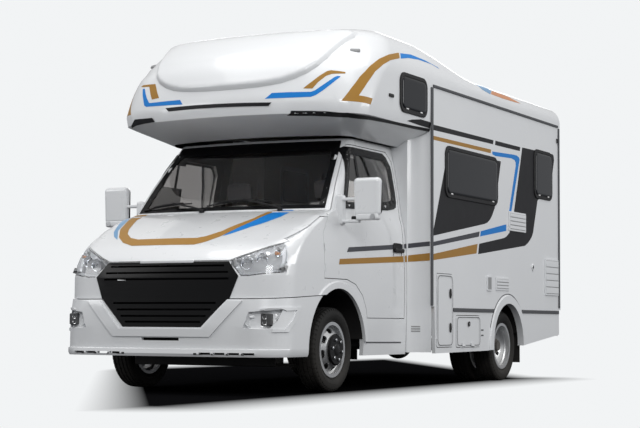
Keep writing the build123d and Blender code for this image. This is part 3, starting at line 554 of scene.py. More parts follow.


def placeCamera(values):
    yaw, pitch, roll = (radians(values[key]) for key in ("yaw", "pitch", "roll"))
    ahead = Vector((cos(pitch) * cos(yaw), cos(pitch) * sin(yaw), sin(pitch)))
    right = ahead.cross(Vector((0, 0, 1))).normalized()
    up = right.cross(ahead)
    side = right * cos(roll) + up * sin(roll)
    top = up * cos(roll) - right * sin(roll)
    data = bpy.data.cameras.new("studioCamera")
    data.lens, data.sensor_width, data.clip_end = values["lens"], 36.0, 200.0
    camera = addObject("studioCamera", data)
    camera.matrix_world = Matrix.Translation(values["place"]) @ Matrix((side, top, -ahead)).transposed().to_4x4()
    bpy.context.scene.camera = camera


def lightSky(values):  # white backdrop for the camera, soft graded light for the rest
    world = bpy.data.worlds.new("studioSky")
    bpy.context.scene.world = world
    world.use_nodes = True
    tree = world.node_tree
    seen = tree.nodes["Background"]
    seen.inputs["Color"].default_value = (*values["backdrop"], 1)
    glow = addNode(tree, "ShaderNodeBackground", Strength=values["skyStrength"])
    split = splitUp(tree, addNode(tree, "ShaderNodeTexCoord").outputs["Generated"])
    tone = tree.nodes.new("ShaderNodeValToRGB")
    stops = [(0.0, (0.12, 0.12, 0.12)), (0.46, (0.3, 0.31, 0.33)), (0.52, (0.82, 0.84, 0.88)),
             (0.75, (1.05, 1.05, 1.05)), (1.0, (1.6, 1.6, 1.6))]
    while len(tone.color_ramp.elements) < len(stops):
        tone.color_ramp.elements.new(0.5)
    for element, (at, colour) in zip(tone.color_ramp.elements, stops):
        element.position, element.color = at, (*colour, 1)
    tree.links.new(ramp(tree, split["Z"], -1.0, 1.0, 0.0, 1.0), tone.inputs["Fac"])
    tree.links.new(tone.outputs["Color"], glow.inputs["Color"])
    cameraRay = addNode(tree, "ShaderNodeLightPath").outputs["Is Camera Ray"]
    mixShaders(tree, cameraRay, glow.outputs[0], seen.outputs[0], "World Output")


softBoxes = {  # name: (place, aimed at, width, height, power)
    "overhead": ((2.0, 0.5, 8.5), (0, 0, 1), 9.0, 6.0, 285),
    "frontLeft": ((9.5, 6.5, 5.5), (1.5, 0, 1.2), 4.0, 3.0, 330),
    "leftSide": ((-3.0, 10.0, 4.0), (-1.0, 0, 1.5), 7.0, 3.0, 285),
    "frontRight": ((8.0, -7.0, 4.5), (1.5, 0, 1.2), 4.0, 3.0, 110),
    "behind": ((-9.0, -4.0, 5.0), (0, 0, 1.5), 6.0, 3.0, 120),
}


def hangLight(name, place, target, width, height, power):
    data = bpy.data.lights.new(name, "AREA")
    data.shape, data.size, data.size_y, data.energy = "RECTANGLE", width, height, power
    lamp = addObject(name, data)
    lamp.location = place
    lamp.rotation_euler = (Vector(target) - Vector(place)).to_track_quat("-Z", "Y").to_euler()


def layPaintedShadowFloor(values):  # a painted shadow: a near-black sheet under the vehicle that its alpha fades out; beyond it the backdrop shows
    deselect()
    bpy.ops.mesh.primitive_circle_add(vertices=96, radius=values["floorRadius"], fill_type="NGON",
                                      location=(0, 0, -0.0005))
    floor = bpy.context.object
    floor.name = "paintedShadowFloor"
    material = bpy.data.materials.new("paintedShadowFloor")
    material.use_nodes = True
    tree = material.node_tree
    shader = tree.nodes["Principled BSDF"]
    # painted shadow colour: near black, shown where the alpha mask below lets it through
    for key, value in (("Base Color", (0.004, 0.004, 0.0045, 1)), ("Roughness", 0.95), ("Specular IOR Level", 0.0)):
        shader.inputs[key].default_value = value
    split = splitUp(tree, addNode(tree, "ShaderNodeTexCoord").outputs["Object"])
    beyond = math(tree, "MINIMUM", math(tree, "SUBTRACT", split["Y"], values["leanFrom"]), 0.0)
    leant = addNode(tree, "ShaderNodeCombineXYZ")
    leaning = math(tree, "MULTIPLY", beyond, values["lean"])
    tree.links.new(math(tree, "SUBTRACT", split["X"], leaning), leant.inputs["X"])
    tree.links.new(split["Y"], leant.inputs["Y"])
    folded = vectorMath(tree, "ABSOLUTE", vectorMath(tree, "SUBTRACT", leant.outputs[0], values["shadowCentre"]))
    outside = vectorMath(tree, "MAXIMUM", vectorMath(tree, "SUBTRACT", folded, values["shadowHalf"]))
    near = ramp(tree, vectorMath(tree, "LENGTH", outside), 0.0, values["shadowFade"], 1.0, 0.0)
    tree.links.new(math(tree, "POWER", near, values["shadowPower"]), shader.inputs["Alpha"])
    floor.data.materials.append(material)


placeCamera(studio)
lightSky(studio)
for name, settings in softBoxes.items():
    hangLight(name, *settings)
layPaintedShadowFloor(studio)
bpy.context.scene.view_settings.view_transform = "Standard"
print("studio ready")


# shaping helpers
axes = {"x": Vector((1, 0, 0)), "y": Vector((0, 1, 0)), "z": Vector((0, 0, 1))}


def lathe(profile, centre, axis, steps):  # profile of (radius, place along the axis), turned round x or y
    along = axes[axis]
    mesh = bpy.data.meshes.new("turned")
    mesh.from_pydata([Vector(centre) + along * a + axes["z"] * r for r, a in profile],
                     [(n, n + 1) for n in range(len(profile) - 1)], [])
    piece = addObject("turned", mesh)
    editAll(piece, "VERT")
    bpy.ops.mesh.spin(steps=steps, angle=2 * pi, center=centre, axis=along)
    chooseAll()
    bpy.ops.mesh.remove_doubles(threshold=0.00002)
    bpy.ops.mesh.normals_make_consistent(inside=False)
    leave()
    return piece


def paint(piece, material, test):  # gives the faces that pass the test a second finish
    piece.data.materials.append(mats[material])
    edit(piece)
    chooseFaces(piece, test)
    piece.active_material_index = len(piece.data.materials) - 1
    bpy.ops.object.material_slot_assign()
    leave()


def terrace(outline, axis, level, out, steps, finishes):  # a plate built up from an outline by insets and rises
    piece = flat(outline, axis, level)
    for name in finishes:
        piece.data.materials.append(mats[name])
    editAll(piece)
    if piece.data.polygons[0].normal.dot(axes[axis]) * out < 0:
        bpy.ops.mesh.flip_normals()
    for inset, rise, index in steps:
        if inset:
            bpy.ops.mesh.inset(thickness=inset, depth=rise)
        else:
            bpy.ops.mesh.extrude_region_move(TRANSFORM_OT_translate={"value": axes[axis] * rise * out})
        piece.active_material_index = index
        bpy.ops.object.material_slot_assign()
    bpy.ops.mesh.select_all(action="DESELECT")
    bpy.ops.mesh.select_mode(type="EDGE")
    bpy.ops.mesh.select_non_manifold()
    bpy.ops.mesh.edge_face_add()
    leave()
    return piece


def plate(sizes, radius, corner, level, steps, finishes, axis="y", out=1):  # a terrace on a rounded rectangle
    return terrace(roundRect(*sizes, radius, corner), axis, level, out, steps, finishes)


def place(piece, name, node, finish=None, degrees=35):  # a piece that stands on, or for, a node
    return settle(piece, name, mats[finish] if finish else None, bodyOf[node], degrees)


def both(piece, name, node, finish=None, degrees=35, standsFor=False):  # a left piece and its right twin
    twin = flipped(piece)
    for side, item in (("Left", piece), ("Right", twin)):
        target = f"{node}_{side.lower()}" if f"{node}_left" in nodes else node
        place(item, name + side, target, finish, degrees)
        if standsFor:
            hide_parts(target)


# tyres and wheels
wheels = {"frontX": 1.915, "rearX": -1.385, "axleZ": 0.338, "frontY": 0.868, "outerY": 1.030, "innerY": 0.778,
          "treadSteps": 156, "lugDepth": 0.004, "treadRadius": 0.315, "ribRadius": 0.334, "shoulderAt": 0.059,
          "middleAt": 0.03}
tyreHalf = [  # radius and half width, from the bead to the middle of the tread
    (0.2225, 0.0735), (0.2265, 0.0775), (0.2290, 0.0835), (0.2330, 0.0850), (0.2365, 0.0835), (0.2390, 0.0862),
    (0.2480, 0.0915), (0.2620, 0.0958), (0.2745, 0.0974), (0.2760, 0.0962), (0.2785, 0.0962), (0.2800, 0.0974),
    (0.2960, 0.0960), (0.3080, 0.0925), (0.3125, 0.0912), (0.3140, 0.0888), (0.3200, 0.0868), (0.3270, 0.0825),
    (0.3320, 0.0765), (0.3345, 0.0700), (0.3355, 0.0590), (0.3290, 0.0575), (0.3290, 0.0505), (0.3360, 0.0490),
    (0.3372, 0.0225), (0.3300, 0.0210), (0.3300, 0.0140), (0.3378, 0.0125), (0.3379, 0.0),
]


def makeTyre(x, y):
    profile = tyreHalf + [(r, -a) for r, a in tyreHalf[-2::-1]]
    centre = (x, y, wheels["axleZ"])
    tyre = lathe(profile, centre, "y", wheels["treadSteps"])
    pitch = 2 * pi / wheels["treadSteps"]

    def isSlot(middle, normal):  # cross slots: every third step on the shoulders, every sixth on the ribs
        dx, dy, dz = middle - Vector(centre)
        reach = (dx * dx + dz * dz) ** 0.5
        step = int((pi + atan2(dz, dx)) / pitch + 0.25)
        if reach < wheels["treadRadius"] or normal.dot(Vector((dx, 0, dz))) < 0:
            return False
        if abs(dy) > wheels["shoulderAt"]:
            return step % 3 == 0
        return reach > wheels["ribRadius"] and step % 6 == (1 if abs(dy) > wheels["middleAt"] else 4)

    edit(tyre)
    chooseFaces(tyre, isSlot)
    bpy.ops.mesh.extrude_region_shrink_fatten(TRANSFORM_OT_shrink_fatten={"value": -wheels["lugDepth"]})
    leave()
    return tyre


def makeNuts(centre, circle, radius=0.0135, height=0.013, count=6):  # wheel nuts on a flat face
    nuts = []
    for n in range(count):
        angle = 2 * pi * n / count + 0.2
        at = (centre[0] + circle * cos(angle), centre[1] + height / 2, centre[2] + circle * sin(angle))
        nuts.append(disc(at, radius, height, "Y", 6, 0.002, 2))
        nuts.append(disc((at[0], at[1] + height * 0.5, at[2]), radius * 0.55, 0.005, "Y", 16, 0.0015, 1))
    return join(nuts)


both(makeTyre(wheels["frontX"], wheels["frontY"]), "frontTyre", "front_tyre", "rubber", 25, True)
both(join([makeTyre(wheels["rearX"], wheels[key]) for key in ("outerY", "innerY")]), "rearTyres", "rear_tyres",
     "rubber", 25, True)

capFace, capRadius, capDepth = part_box("front_rim_left")[1][1], 0.1275, 0.0155
frontHub = (wheels["frontX"], capFace, wheels["axleZ"])
rearHub = (wheels["rearX"], wheels["outerY"], wheels["axleZ"])
for side, sign in sides.items():
    paint(pieces["front_rim_" + side], "glossBlack", lambda c, n: sign * c.y > capFace - capDepth
          and Vector((c.x - frontHub[0], c.z - frontHub[2])).length < capRadius)
dome = [(0, 0.0052), (0.02, 0.0048), (0.038, 0.0034), (0.047, 0.0012), (0.049, -0.0005)]
both(lathe(dome, frontHub, "y", 48), "hubDome", "front_rim", "glossBlack")
both(makeNuts(frontHub, 0.0825), "frontNuts", "front_rim", "chrome")
both(rod([(2.083, 0.93, 0.40), (2.076, 0.966, 0.398)], 0.0045), "frontValve", "front_rim", "blackPlastic")
hubRing = [(0.047, 0.02), (0.052, 0.0225), (0.066, 0.0225), (0.0705, 0.019), (0.0705, 0.001)]
both(lathe(hubRing, rearHub, "y", 48), "rearHubRing", "rear_rims", "castIron")
both(makeNuts((rearHub[0], rearHub[1] - 0.032, rearHub[2]), 0.1, 0.015, 0.018), "rearNuts", "rear_rims",
     "satinAluminium")
print("wheels done")


# coach windows
wallY, standOff = 1.175, 0.0004  # the wall outside, and how far fittings stand off it
windowSizes = {  # rear x, front x, low z, high z, side
    "mainWindow": (-1.090, 0.155, 1.697, 2.129, 1), "rearSideWindow": (-2.647, -2.141, 1.853, 2.324, 1),
    "kitchenWindow": (-2.560, -1.900, 1.697, 2.129, -1), "washroomWindow": (-1.560, -1.000, 1.780, 2.129, -1),
    "alcoveWindowLeft": (0.590, 1.120, 2.352, 2.660, 1), "alcoveWindowRight": (0.590, 1.120, 2.352, 2.660, -1),
}
windowSteps = [  # inset, rise, finish of what lies inside: frame, its step, gasket, pane with rounded shoulders
    (0, 0.008, 0), (0.004, 0.003, 0), (0.026, 0.0006, 0), (0.002, -0.004, 0), (0.004, 0.0, 1), (0.003, 0.005, 1),
    (0.006, 0.0035, 1), (0.014, 0.0012, 1), (0.015, 0.0, 1),
]
frames, lap = [], 0.0175  # lap: the frame's reach past the opening
for name, (x0, x1, z0, z1, side) in windowSizes.items():
    pane = plate((x0 - lap, x1 + lap, z0 - lap, z1 + lap), 0.087, 10, wallY + 0.0006, windowSteps,
                 ["blackPlastic", "smokedPane"])
    catches = [box((x - 0.022, wallY + 0.011, z0 + 0.012), (x + 0.022, wallY + 0.0165, z0 + 0.024), 0.003)
               for x in (x0 + 0.12, x1 - 0.12)]
    inner = plate((x0 - 0.03, x1 + 0.03, z0 - 0.03, z1 + 0.03), 0.09, 8, 1.1425, [(0, 0.01, 0), (0.045, 0.002, 1)],
                  ["greyPlastic", "smokedPane"], out=-1)
    whole = join([pane, inner] + catches)
    if side < 0:
        crossOver(whole)
    frames.append(place(whole, name, "coach_windows", None, 30))
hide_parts("coach_windows")
print("windows done")


# stripes
stickerThick = 0.0006
sideStripes = {  # name: (finish, outline of x and z), on the flat left wall
    "upperDark": ("blackStripe", [(0.438, 2.252), (0.438, 2.300), (-1.013, 2.310), (-1.000, 2.270)]),
    "upperDarkTail": ("blackStripe", [(-1.052, 2.268), (-1.063, 2.311), (-1.741, 2.316), (-1.723, 2.275)]),
    "upperGold": ("goldStripe", [(0.438, 2.166), (0.438, 2.201), (-0.947, 2.214), (-0.938, 2.178)]),
    "blueElbow": ("blueStripe", [
        (-0.981, 2.199), (-1.450, 2.218), (-1.561, 2.223), (-1.645, 2.222), (-1.703, 2.208), (-1.722, 2.190),
        (-1.711, 2.168), (-1.471, 1.623), (-1.411, 1.623), (-1.610, 2.120), (-1.606, 2.150), (-1.580, 2.170),
        (-1.491, 2.180), (-1.062, 2.163), (-0.981, 2.172)]),
    "frontPatch": ("blackStripe", [
        (0.150, 2.118), (0.155, 1.975), (0.438, 1.335), (0.438, 1.318), (-0.780, 1.492), (-0.850, 1.508),
        (-0.925, 1.545), (-0.985, 1.596), (-1.040, 1.660), (-1.075, 1.735), (-1.207, 2.124), (-1.047, 2.123)]),
    "lowerDark": ("greyStripe", [(0.438, 1.227), (0.438, 1.264), (-0.655, 1.414), (-0.640, 1.365)]),
    "lowerBlue": ("blueStripe", [(-0.667, 1.368), (-0.683, 1.418), (-1.348, 1.521), (-1.347, 1.456)]),
    "lowerGold": ("goldStripe", [(0.438, 1.104), (0.438, 1.158), (-0.605, 1.296), (-0.577, 1.205)]),
    "rearPatch": ("blackStripe", [
        (-1.794, 2.318), (-2.394, 2.330), (-2.700, 2.336), (-2.735, 2.320), (-2.745, 2.280), (-2.640, 1.980),
        (-2.235, 1.816), (-2.101, 1.481), (-2.060, 1.432), (-2.010, 1.399), (-1.940, 1.362), (-1.865, 1.334),
        (-0.617, 1.200), (-0.642, 1.298), (-1.285, 1.384), (-1.345, 1.400), (-1.393, 1.423), (-1.430, 1.442),
        (-1.461, 1.475), (-1.559, 1.660), (-1.673, 1.971)]),
}
for name, (finish, outline) in sideStripes.items():
    place(flat(outline, "y", wallY, stickerThick), name, "left_side_wall", finish)
print("side stripes done")


skins = {}


def skinOf(*names):  # a hidden joined copy of dressed panels, to lay other pieces on
    if names not in skins:
        pick(*[pieces[name] for name in names])
        bpy.ops.object.duplicate()
        if len(names) > 1:
            bpy.ops.object.join()
        skins[names] = bpy.context.object
        skins[names].hide_set(True)
    return skins[names]


sheetStart, missed = 4.5, 0.3  # how far out a flat sheet starts, and what is taken for not having reached the panel


def wrap(name, outline, heading, skin, node, finish, hole=None, grid=0.025, lift=0.0011, thick=stickerThick,
         keep=False, steps=(), finishes=(), fade=None):  # lays an outline on a curved panel, projected along a heading
    out = Vector(heading).normalized()
    across = Vector((0, 0, 1)).cross(out) if abs(out.z) < 0.9 else Vector((1, 0, 0))
    across.normalize()
    up = out.cross(across)
    frameOf = Matrix((across, up, out)).transposed().to_4x4()
    points = [(Vector(p).dot(across), Vector(p).dot(up), 0) for p in outline]
    rim = [(Vector(p).dot(across), Vector(p).dot(up), 0) for p in hole or []]
    count = len(points)
    faces = ([[n, (n + 1) % count, count + (n + 1) % count, count + n] for n in range(count)] if rim
             else [list(range(count))])
    mesh = bpy.data.meshes.new(name)
    mesh.from_pydata(points + rim, [], faces)
    piece = addObject(name, mesh)
    piece.matrix_world = Matrix.Translation(out * sheetStart) @ frameOf
    editAll(piece)
    if mesh.polygons[0].normal.z < 0:
        bpy.ops.mesh.flip_normals()
    for label in finishes:
        mesh.materials.append(mats[label])
    for inset, rise, index in steps:
        bpy.ops.mesh.inset(thickness=inset, depth=rise)
        piece.active_material_index = index
        bpy.ops.object.material_slot_assign()
    for index, line in ((0, across), (1, up)):
        low, high = min(p[index] for p in points), max(p[index] for p in points)
        for n in range(1, int((high - low) / grid) + 1):
            chooseAll()
            bpy.ops.mesh.bisect(plane_co=out * sheetStart + line * (low + n * grid - 0.0003), plane_no=line)
    chooseAll()
    bpy.ops.mesh.quads_convert_to_tris()
    leave()
    rises = [vertex.co.z for vertex in mesh.vertices]
    fit = piece.modifiers.new("fit", "SHRINKWRAP")
    fit.wrap_method, fit.target, fit.offset = "PROJECT", skin, lift
    fit.use_project_z, fit.use_negative_direction, fit.use_positive_direction = True, True, False
    useModifiers(piece)
    if steps:
        group = piece.vertex_groups.new(name="rise")
        most = max(rises, key=abs)
        for vertex, rise in zip(piece.data.vertices, rises):
            spot = piece.matrix_world @ vertex.co
            group.add([vertex.index], rise / most * (fade(spot) if fade else 1), "REPLACE")
        push = piece.modifiers.new("push", "DISPLACE")
        push.direction, push.strength, push.mid_level, push.vertex_group = "NORMAL", most, 0.0, "rise"
        useModifiers(piece)
    chooseVertices(piece, lambda at: abs(at.z) < missed)
    bpy.ops.mesh.delete(type="VERT")
    leave()
    if keep:
        pick(piece)
        applyPlace()
        return piece
    return thicken(piece, name, node, finish, thick)


def cutOff(piece, point, normal):  # drops what lies on the normal's side of a plane
    editAll(piece)
    bpy.ops.mesh.bisect(plane_co=point, plane_no=normal, clear_outer=True)
    leave()


def twinOf(piece, node):
    return place(flipped(piece), piece.name + "Right", node)


def thicken(piece, name, node, finish, thick=stickerThick):
    solidify(piece, thick)
    return place(piece, name, node, finish, 40)


def inPlane(x, outline):  # an outline of y and z in the plane at x
    return [(x, y, z) for y, z in outline]


def bothWays(half):  # an outline of y and z from its left half
    return half + [(-y, z) for y, z in half[::-1]]


alcove = ("overcab_moulding", "overcab_base", "roof_panel")
front, side, nearSide, corner, under = (1, 0, 0.1), (0, 1, 0.1), (0.45, 1, 0.1), (1, 0.9, 0), (0.5, 1, -0.4)
curved = {  # node: (skins, {name: (finish, heading, outline)})
    "overcab_moulding": (alcove, {
        "goldSwoop": ("goldStripe", nearSide, [
            (1.911, 1.015, 2.333), (1.836, 1.063, 2.439), (1.735, 1.096, 2.551), (1.602, 1.123, 2.656),
            (1.454, 1.136, 2.736), (1.292, 1.143, 2.794), (1.038, 1.120, 2.851), (1.074, 1.146, 2.796),
            (1.293, 1.163, 2.745), (1.431, 1.162, 2.690), (1.570, 1.154, 2.612), (1.694, 1.140, 2.498),
            (1.797, 1.118, 2.387), (1.653, 1.172, 2.376), (1.689, 1.171, 2.322), (1.841, 1.103, 2.332)]),
        "blueCrest": ("blueStripe", side, [
            (1.006, 1.120, 2.851), (0.762, 1.106, 2.877), (0.471, 1.110, 2.870), (0.214, 1.121, 2.844),
            (0.184, 1.127, 2.833), (0.349, 1.118, 2.854), (0.628, 1.119, 2.852), (0.866, 1.130, 2.830),
            (1.053, 1.146, 2.795)]),
        "goldDartLeft": ("goldStripe", corner, [
            (1.983, 0.707, 2.444), (1.972, 0.724, 2.463), (1.910, 0.813, 2.549), (1.874, 0.868, 2.591),
            (1.860, 0.898, 2.598), (1.809, 1.002, 2.584), (1.815, 1.004, 2.570), (1.871, 0.909, 2.566),
            (1.892, 0.869, 2.550), (1.934, 0.817, 2.496), (1.963, 0.780, 2.442)]),
        "blueDartLeft": ("blueStripe", (1, 0.6, 0), [
            (2.071, 0.400, 2.366), (2.049, 0.454, 2.415), (2.018, 0.608, 2.416), (1.975, 0.773, 2.414),
            (1.962, 0.804, 2.426), (1.869, 0.940, 2.542), (1.860, 0.954, 2.547), (1.847, 0.976, 2.547),
            (1.850, 0.977, 2.540), (1.942, 0.868, 2.425), (1.970, 0.817, 2.387), (1.985, 0.779, 2.371),
            (2.029, 0.615, 2.369), (2.063, 0.445, 2.368)]),
        "goldDartRight": ("goldStripe", (1, -0.5, 0), [
            (1.832, -0.966, 2.585), (1.843, -0.937, 2.595), (1.905, -0.771, 2.586), (1.989, -0.677, 2.449),
            (1.967, -0.764, 2.444), (1.892, -0.842, 2.569), (1.859, -0.926, 2.575)]),
        "blueDartRight": ("blueStripe", (1, -0.5, 0), [
            (1.867, -0.926, 2.560), (1.881, -0.896, 2.556), (1.941, -0.834, 2.461), (1.971, -0.787, 2.414),
            (2.056, -0.424, 2.409), (2.073, -0.387, 2.366), (1.970, -0.819, 2.384), (1.956, -0.848, 2.398),
            (1.912, -0.895, 2.486)]),
        "lipLeft": ("blackStripe", under, [
            (2.001, 0.563, 2.229), (2.028, 0.615, 2.264), (1.985, 0.779, 2.259), (1.943, 0.906, 2.253),
            (1.870, 1.054, 2.240), (1.680, 1.144, 2.233), (1.245, 1.160, 2.240), (0.833, 1.161, 2.247),
            (0.478, 1.163, 2.260), (0.478, 1.161, 2.230), (0.779, 1.137, 2.228), (1.179, 1.129, 2.223),
            (1.612, 1.111, 2.213), (1.804, 1.021, 2.213), (1.890, 0.878, 2.219), (1.944, 0.757, 2.225)]),
        "lipFront": ("blackStripe", front, [
            (2.044, -0.574, 2.349), (2.069, 0.466, 2.333), (2.073, 0.441, 2.305), (2.060, -0.532, 2.316)]),
        "lipRight": ("blackStripe", (1, -0.6, -0.3), [
            (1.933, -0.957, 2.288), (2.004, -0.732, 2.282), (2.002, -0.702, 2.245), (1.965, -0.830, 2.242),
            (1.915, -0.948, 2.237), (1.835, -1.048, 2.228), (1.902, -1.010, 2.241)]),
        "upperDarkTip": ("blackStripe", side, [
            (0.968, 1.165, 2.272), (0.871, 1.169, 2.294), (0.692, 1.173, 2.316), (0.500, 1.172, 2.314),
            (0.478, 1.172, 2.312), (0.478, 1.172, 2.262), (0.689, 1.164, 2.263)]),
    }),
    "cab_door_left": (("cab_door_left",), {
        "doorDark": ("greyStripe", side, [
            (1.755, 0.994, 1.123), (1.718, 0.992, 1.164), (0.664, 0.988, 1.237), (0.664, 0.990, 1.198)]),
        "doorGold": ("goldStripe", side, [
            (1.903, 0.999, 1.018), (1.890, 0.998, 1.063), (0.664, 0.995, 1.133), (0.664, 0.997, 1.082)]),
    }),
    "cab_surrounds": (("cab_surrounds", "cab_shell"), {
        "cornerDark": ("greyStripe", (0.6, 1, 0), [
            (0.632, 0.986, 1.240), (0.468, 1.160, 1.268), (0.468, 1.160, 1.228), (0.632, 0.989, 1.200)]),
        "cornerGold": ("goldStripe", (0.6, 1, 0), [
            (0.632, 0.993, 1.137), (0.468, 1.160, 1.166), (0.468, 1.160, 1.100), (0.632, 0.997, 1.083)]),
    }),
    "roof_panel": (("roof_panel",), {
        "roofTeal": ("tealStripe", (0, 1, 0.8), [
            (-0.730, 1.089, 2.827), (-0.793, 1.147, 2.774), (-0.970, 1.160, 2.749), (-1.075, 1.126, 2.800),
            (-1.040, 1.110, 2.826)]),
        "roofOrange": ("orangeStripe", (0, 1, 0.8), [
            (-1.102, 1.121, 2.803), (-1.521, 1.125, 2.800), (-1.806, 1.152, 2.764), (-1.653, 1.155, 2.758),
            (-1.294, 1.159, 2.750), (-0.989, 1.157, 2.755)]),
    }),
}
twins = ("goldSwoop", "blueCrest", "upperDarkTip", "doorDark", "doorGold", "cornerDark", "cornerGold")
for node, (onto, stickers) in curved.items():
    for name, (finish, heading, outline) in stickers.items():
        grid, lift = (0.02, 0.006) if name.startswith("lip") else (0.025, 0.0011)
        sticker = wrap(name, outline, heading, skinOf(*onto), node, finish, grid=grid, lift=lift)
        if name in twins:
            twinOf(sticker, node.replace("left", "right"))

bonnetBands = {  # name: (finish, outline)
    "goldHoop": ("goldStripe", [
        (1.960, -0.915, 1.450), (2.375, -0.788, 1.314), (2.538, -0.690, 1.238), (2.646, -0.576, 1.186),
        (2.707, -0.448, 1.155), (2.718, 0.142, 1.154), (2.678, 0.219, 1.176), (2.594, 0.299, 1.219),
        (2.466, 0.367, 1.283), (2.281, 0.434, 1.362), (2.002, 0.496, 1.461), (2.036, 0.434, 1.448),
        (2.227, 0.402, 1.385), (2.386, 0.319, 1.320), (2.492, 0.266, 1.271), (2.580, 0.173, 1.228),
        (2.610, 0.103, 1.213), (2.603, -0.459, 1.211), (2.566, -0.554, 1.228), (2.487, -0.639, 1.265),
        (2.390, -0.691, 1.311), (2.173, -0.767, 1.398), (1.977, -0.788, 1.458)]),
    "blueBand": ("blueStripe", [
        (1.996, 0.639, 1.458), (2.193, 0.631, 1.394), (2.336, 0.553, 1.337), (2.452, 0.461, 1.288),
        (2.535, 0.379, 1.248), (2.582, 0.321, 1.225), (2.548, 0.328, 1.242), (2.422, 0.386, 1.305),
        (2.246, 0.447, 1.377), (2.002, 0.502, 1.461)]),
    "blueSide": ("tealStripe", [
        (2.000, -0.975, 1.430), (2.245, -0.895, 1.364), (2.437, -0.811, 1.285), (2.522, -0.749, 1.244),
        (2.588, -0.671, 1.213), (2.560, -0.690, 1.235), (2.414, -0.785, 1.298), (2.278, -0.830, 1.353),
        (2.136, -0.868, 1.409)]),
}
bonnetEdge, cowlEdge = 2.0505, 2.035  # where the bands stop on each side of the gap
for name, (finish, outline) in bonnetBands.items():
    for node, at, turn in (("bonnet", bonnetEdge, (-1, 0, 0)), ("cab_shell", cowlEdge, (1, 0, 0))):
        band = wrap(name, outline, (0.5, 0, 1), skinOf("bonnet", "cab_shell"), node, finish, keep=True)
        cutOff(band, (at, 0, 0), turn)
        if len(band.data.polygons):
            thicken(band, name + ("Hood" if node == "bonnet" else "Cowl"), node, finish)
        else:
            bpy.data.objects.remove(band)
print("curved stripes done")


# raised panel on the front of the alcove
panelHalf = [(0.0, 2.462), (0.16, 2.463), (0.31, 2.470), (0.42, 2.481), (0.52, 2.497), (0.625, 2.532), (0.715, 2.580),
             (0.785, 2.640), (0.830, 2.716), (0.862, 2.810), (0.890, 2.886), (0.915, 2.935), (0.905, 2.975),
             (0.840, 3.005), (0.60, 3.032), (0.30, 3.050)]
panelRim = [(2.3, y, z) for y, z in panelHalf + [(0.0, 3.052)]] + [(2.3, -y, z) for y, z in panelHalf[:0:-1]]
panelFade = {"top": 3.056, "over": 0.09}  # the rise runs out towards the roof
wrap("alcovePanel", panelRim, (1, 0, 0), skinOf(*alcove), "overcab_moulding", "gelCoat", grid=0.03, lift=0.001,
     steps=((0.004, 0.005, 0), (0.009, 0.011, 0), (0.012, 0.012, 0), (0.010, 0.004, 0), (0.010, 0.001, 0)),
     finishes=("gelCoat",), fade=lambda at: max(0.0, min(1.0, (panelFade["top"] - at.z) / panelFade["over"])))


# lamps
def hitFrom(piece, start, heading):  # where a line from outside meets a piece
    found, at = piece.ray_cast(Vector(start), Vector(heading))[:2]
    return at if found else None


lampFacing, leastFacing = Vector((0.75, 0.55, 0.35)), 0.52


def lampFace(keep):  # the outer skin of one lamp block
    piece = copyNode("lamps")
    edit(piece)
    chooseFaces(piece, lambda c, n: not (keep(c) and n.dot(lampFacing) > leastFacing))
    bpy.ops.mesh.delete(type="FACE")
    chooseAll()
    bpy.ops.mesh.dissolve_limited(angle_limit=radians(0.5))
    leave()
    return piece


def rimOf(piece):  # the open rim of a face as a ring of points
    uses = {}
    for face in piece.data.polygons:
        for key in face.edge_keys:
            uses[key] = uses.get(key, 0) + 1
    links = {}
    for (a, b), count in uses.items():
        if count == 1:
            links.setdefault(a, []).append(b)
            links.setdefault(b, []).append(a)
    ring, last = [next(iter(links))], None
    while len(ring) < 2 or ring[-1] != ring[0]:
        step = [n for n in links[ring[-1]] if n != last]
        last = ring[-1]
        ring.append(step[0])
    return [piece.data.vertices[n].co.copy() for n in ring[:-1]]


def lampUnit(stem, keep, heading, steps, finishes, bowls):  # a housing in the lens's rim, with its bowls and bulbs
    lens = lampFace(keep)
    housing = wrap(stem + "Housing", rimOf(lens), heading, lens, "lamps", None, grid=0.03, lift=-0.005, keep=True,
                   steps=steps, finishes=finishes)
    seats = []
    for y, z, radius, back, glow in bowls:
        at = hitFrom(lens, (4, y, z), (-1, 0, 0))
        x = at.x - back
        cup = [(0.004, -radius * 0.9), (radius * 0.45, -radius * 0.8), (radius * 0.8, -radius * 0.5),
               (radius * 0.97, -radius * 0.15), (radius, 0), (radius * 1.08, 0.003), (radius * 1.14, -0.002),
               (radius * 1.12, -radius * 0.5)]
        seats.append((lathe(cup, (x, y, z), "x", 32), "chrome"))
        bulb = [(0, radius * 0.05), (radius * 0.2, 0), (radius * 0.26, -radius * 0.25), (radius * 0.2, -radius * 0.8)]
        seats.append((lathe(bulb, (x, y, z), "x", 20), glow))
    solidify(housing, 0.002, -1)
    if bowls:
        solidify(lens, 0.003, -1)
        both(lens, stem + "Lens", "lamps", "lensGlass", 30)
    else:
        bpy.data.objects.remove(lens)
        lens = None
    both(housing, stem + "Housing", "lamps", None, 30)
    for count, (piece, finish) in enumerate(seats):
        both(piece, f"{stem}Bowl{count}", "lamps", finish, 40)
    return lens


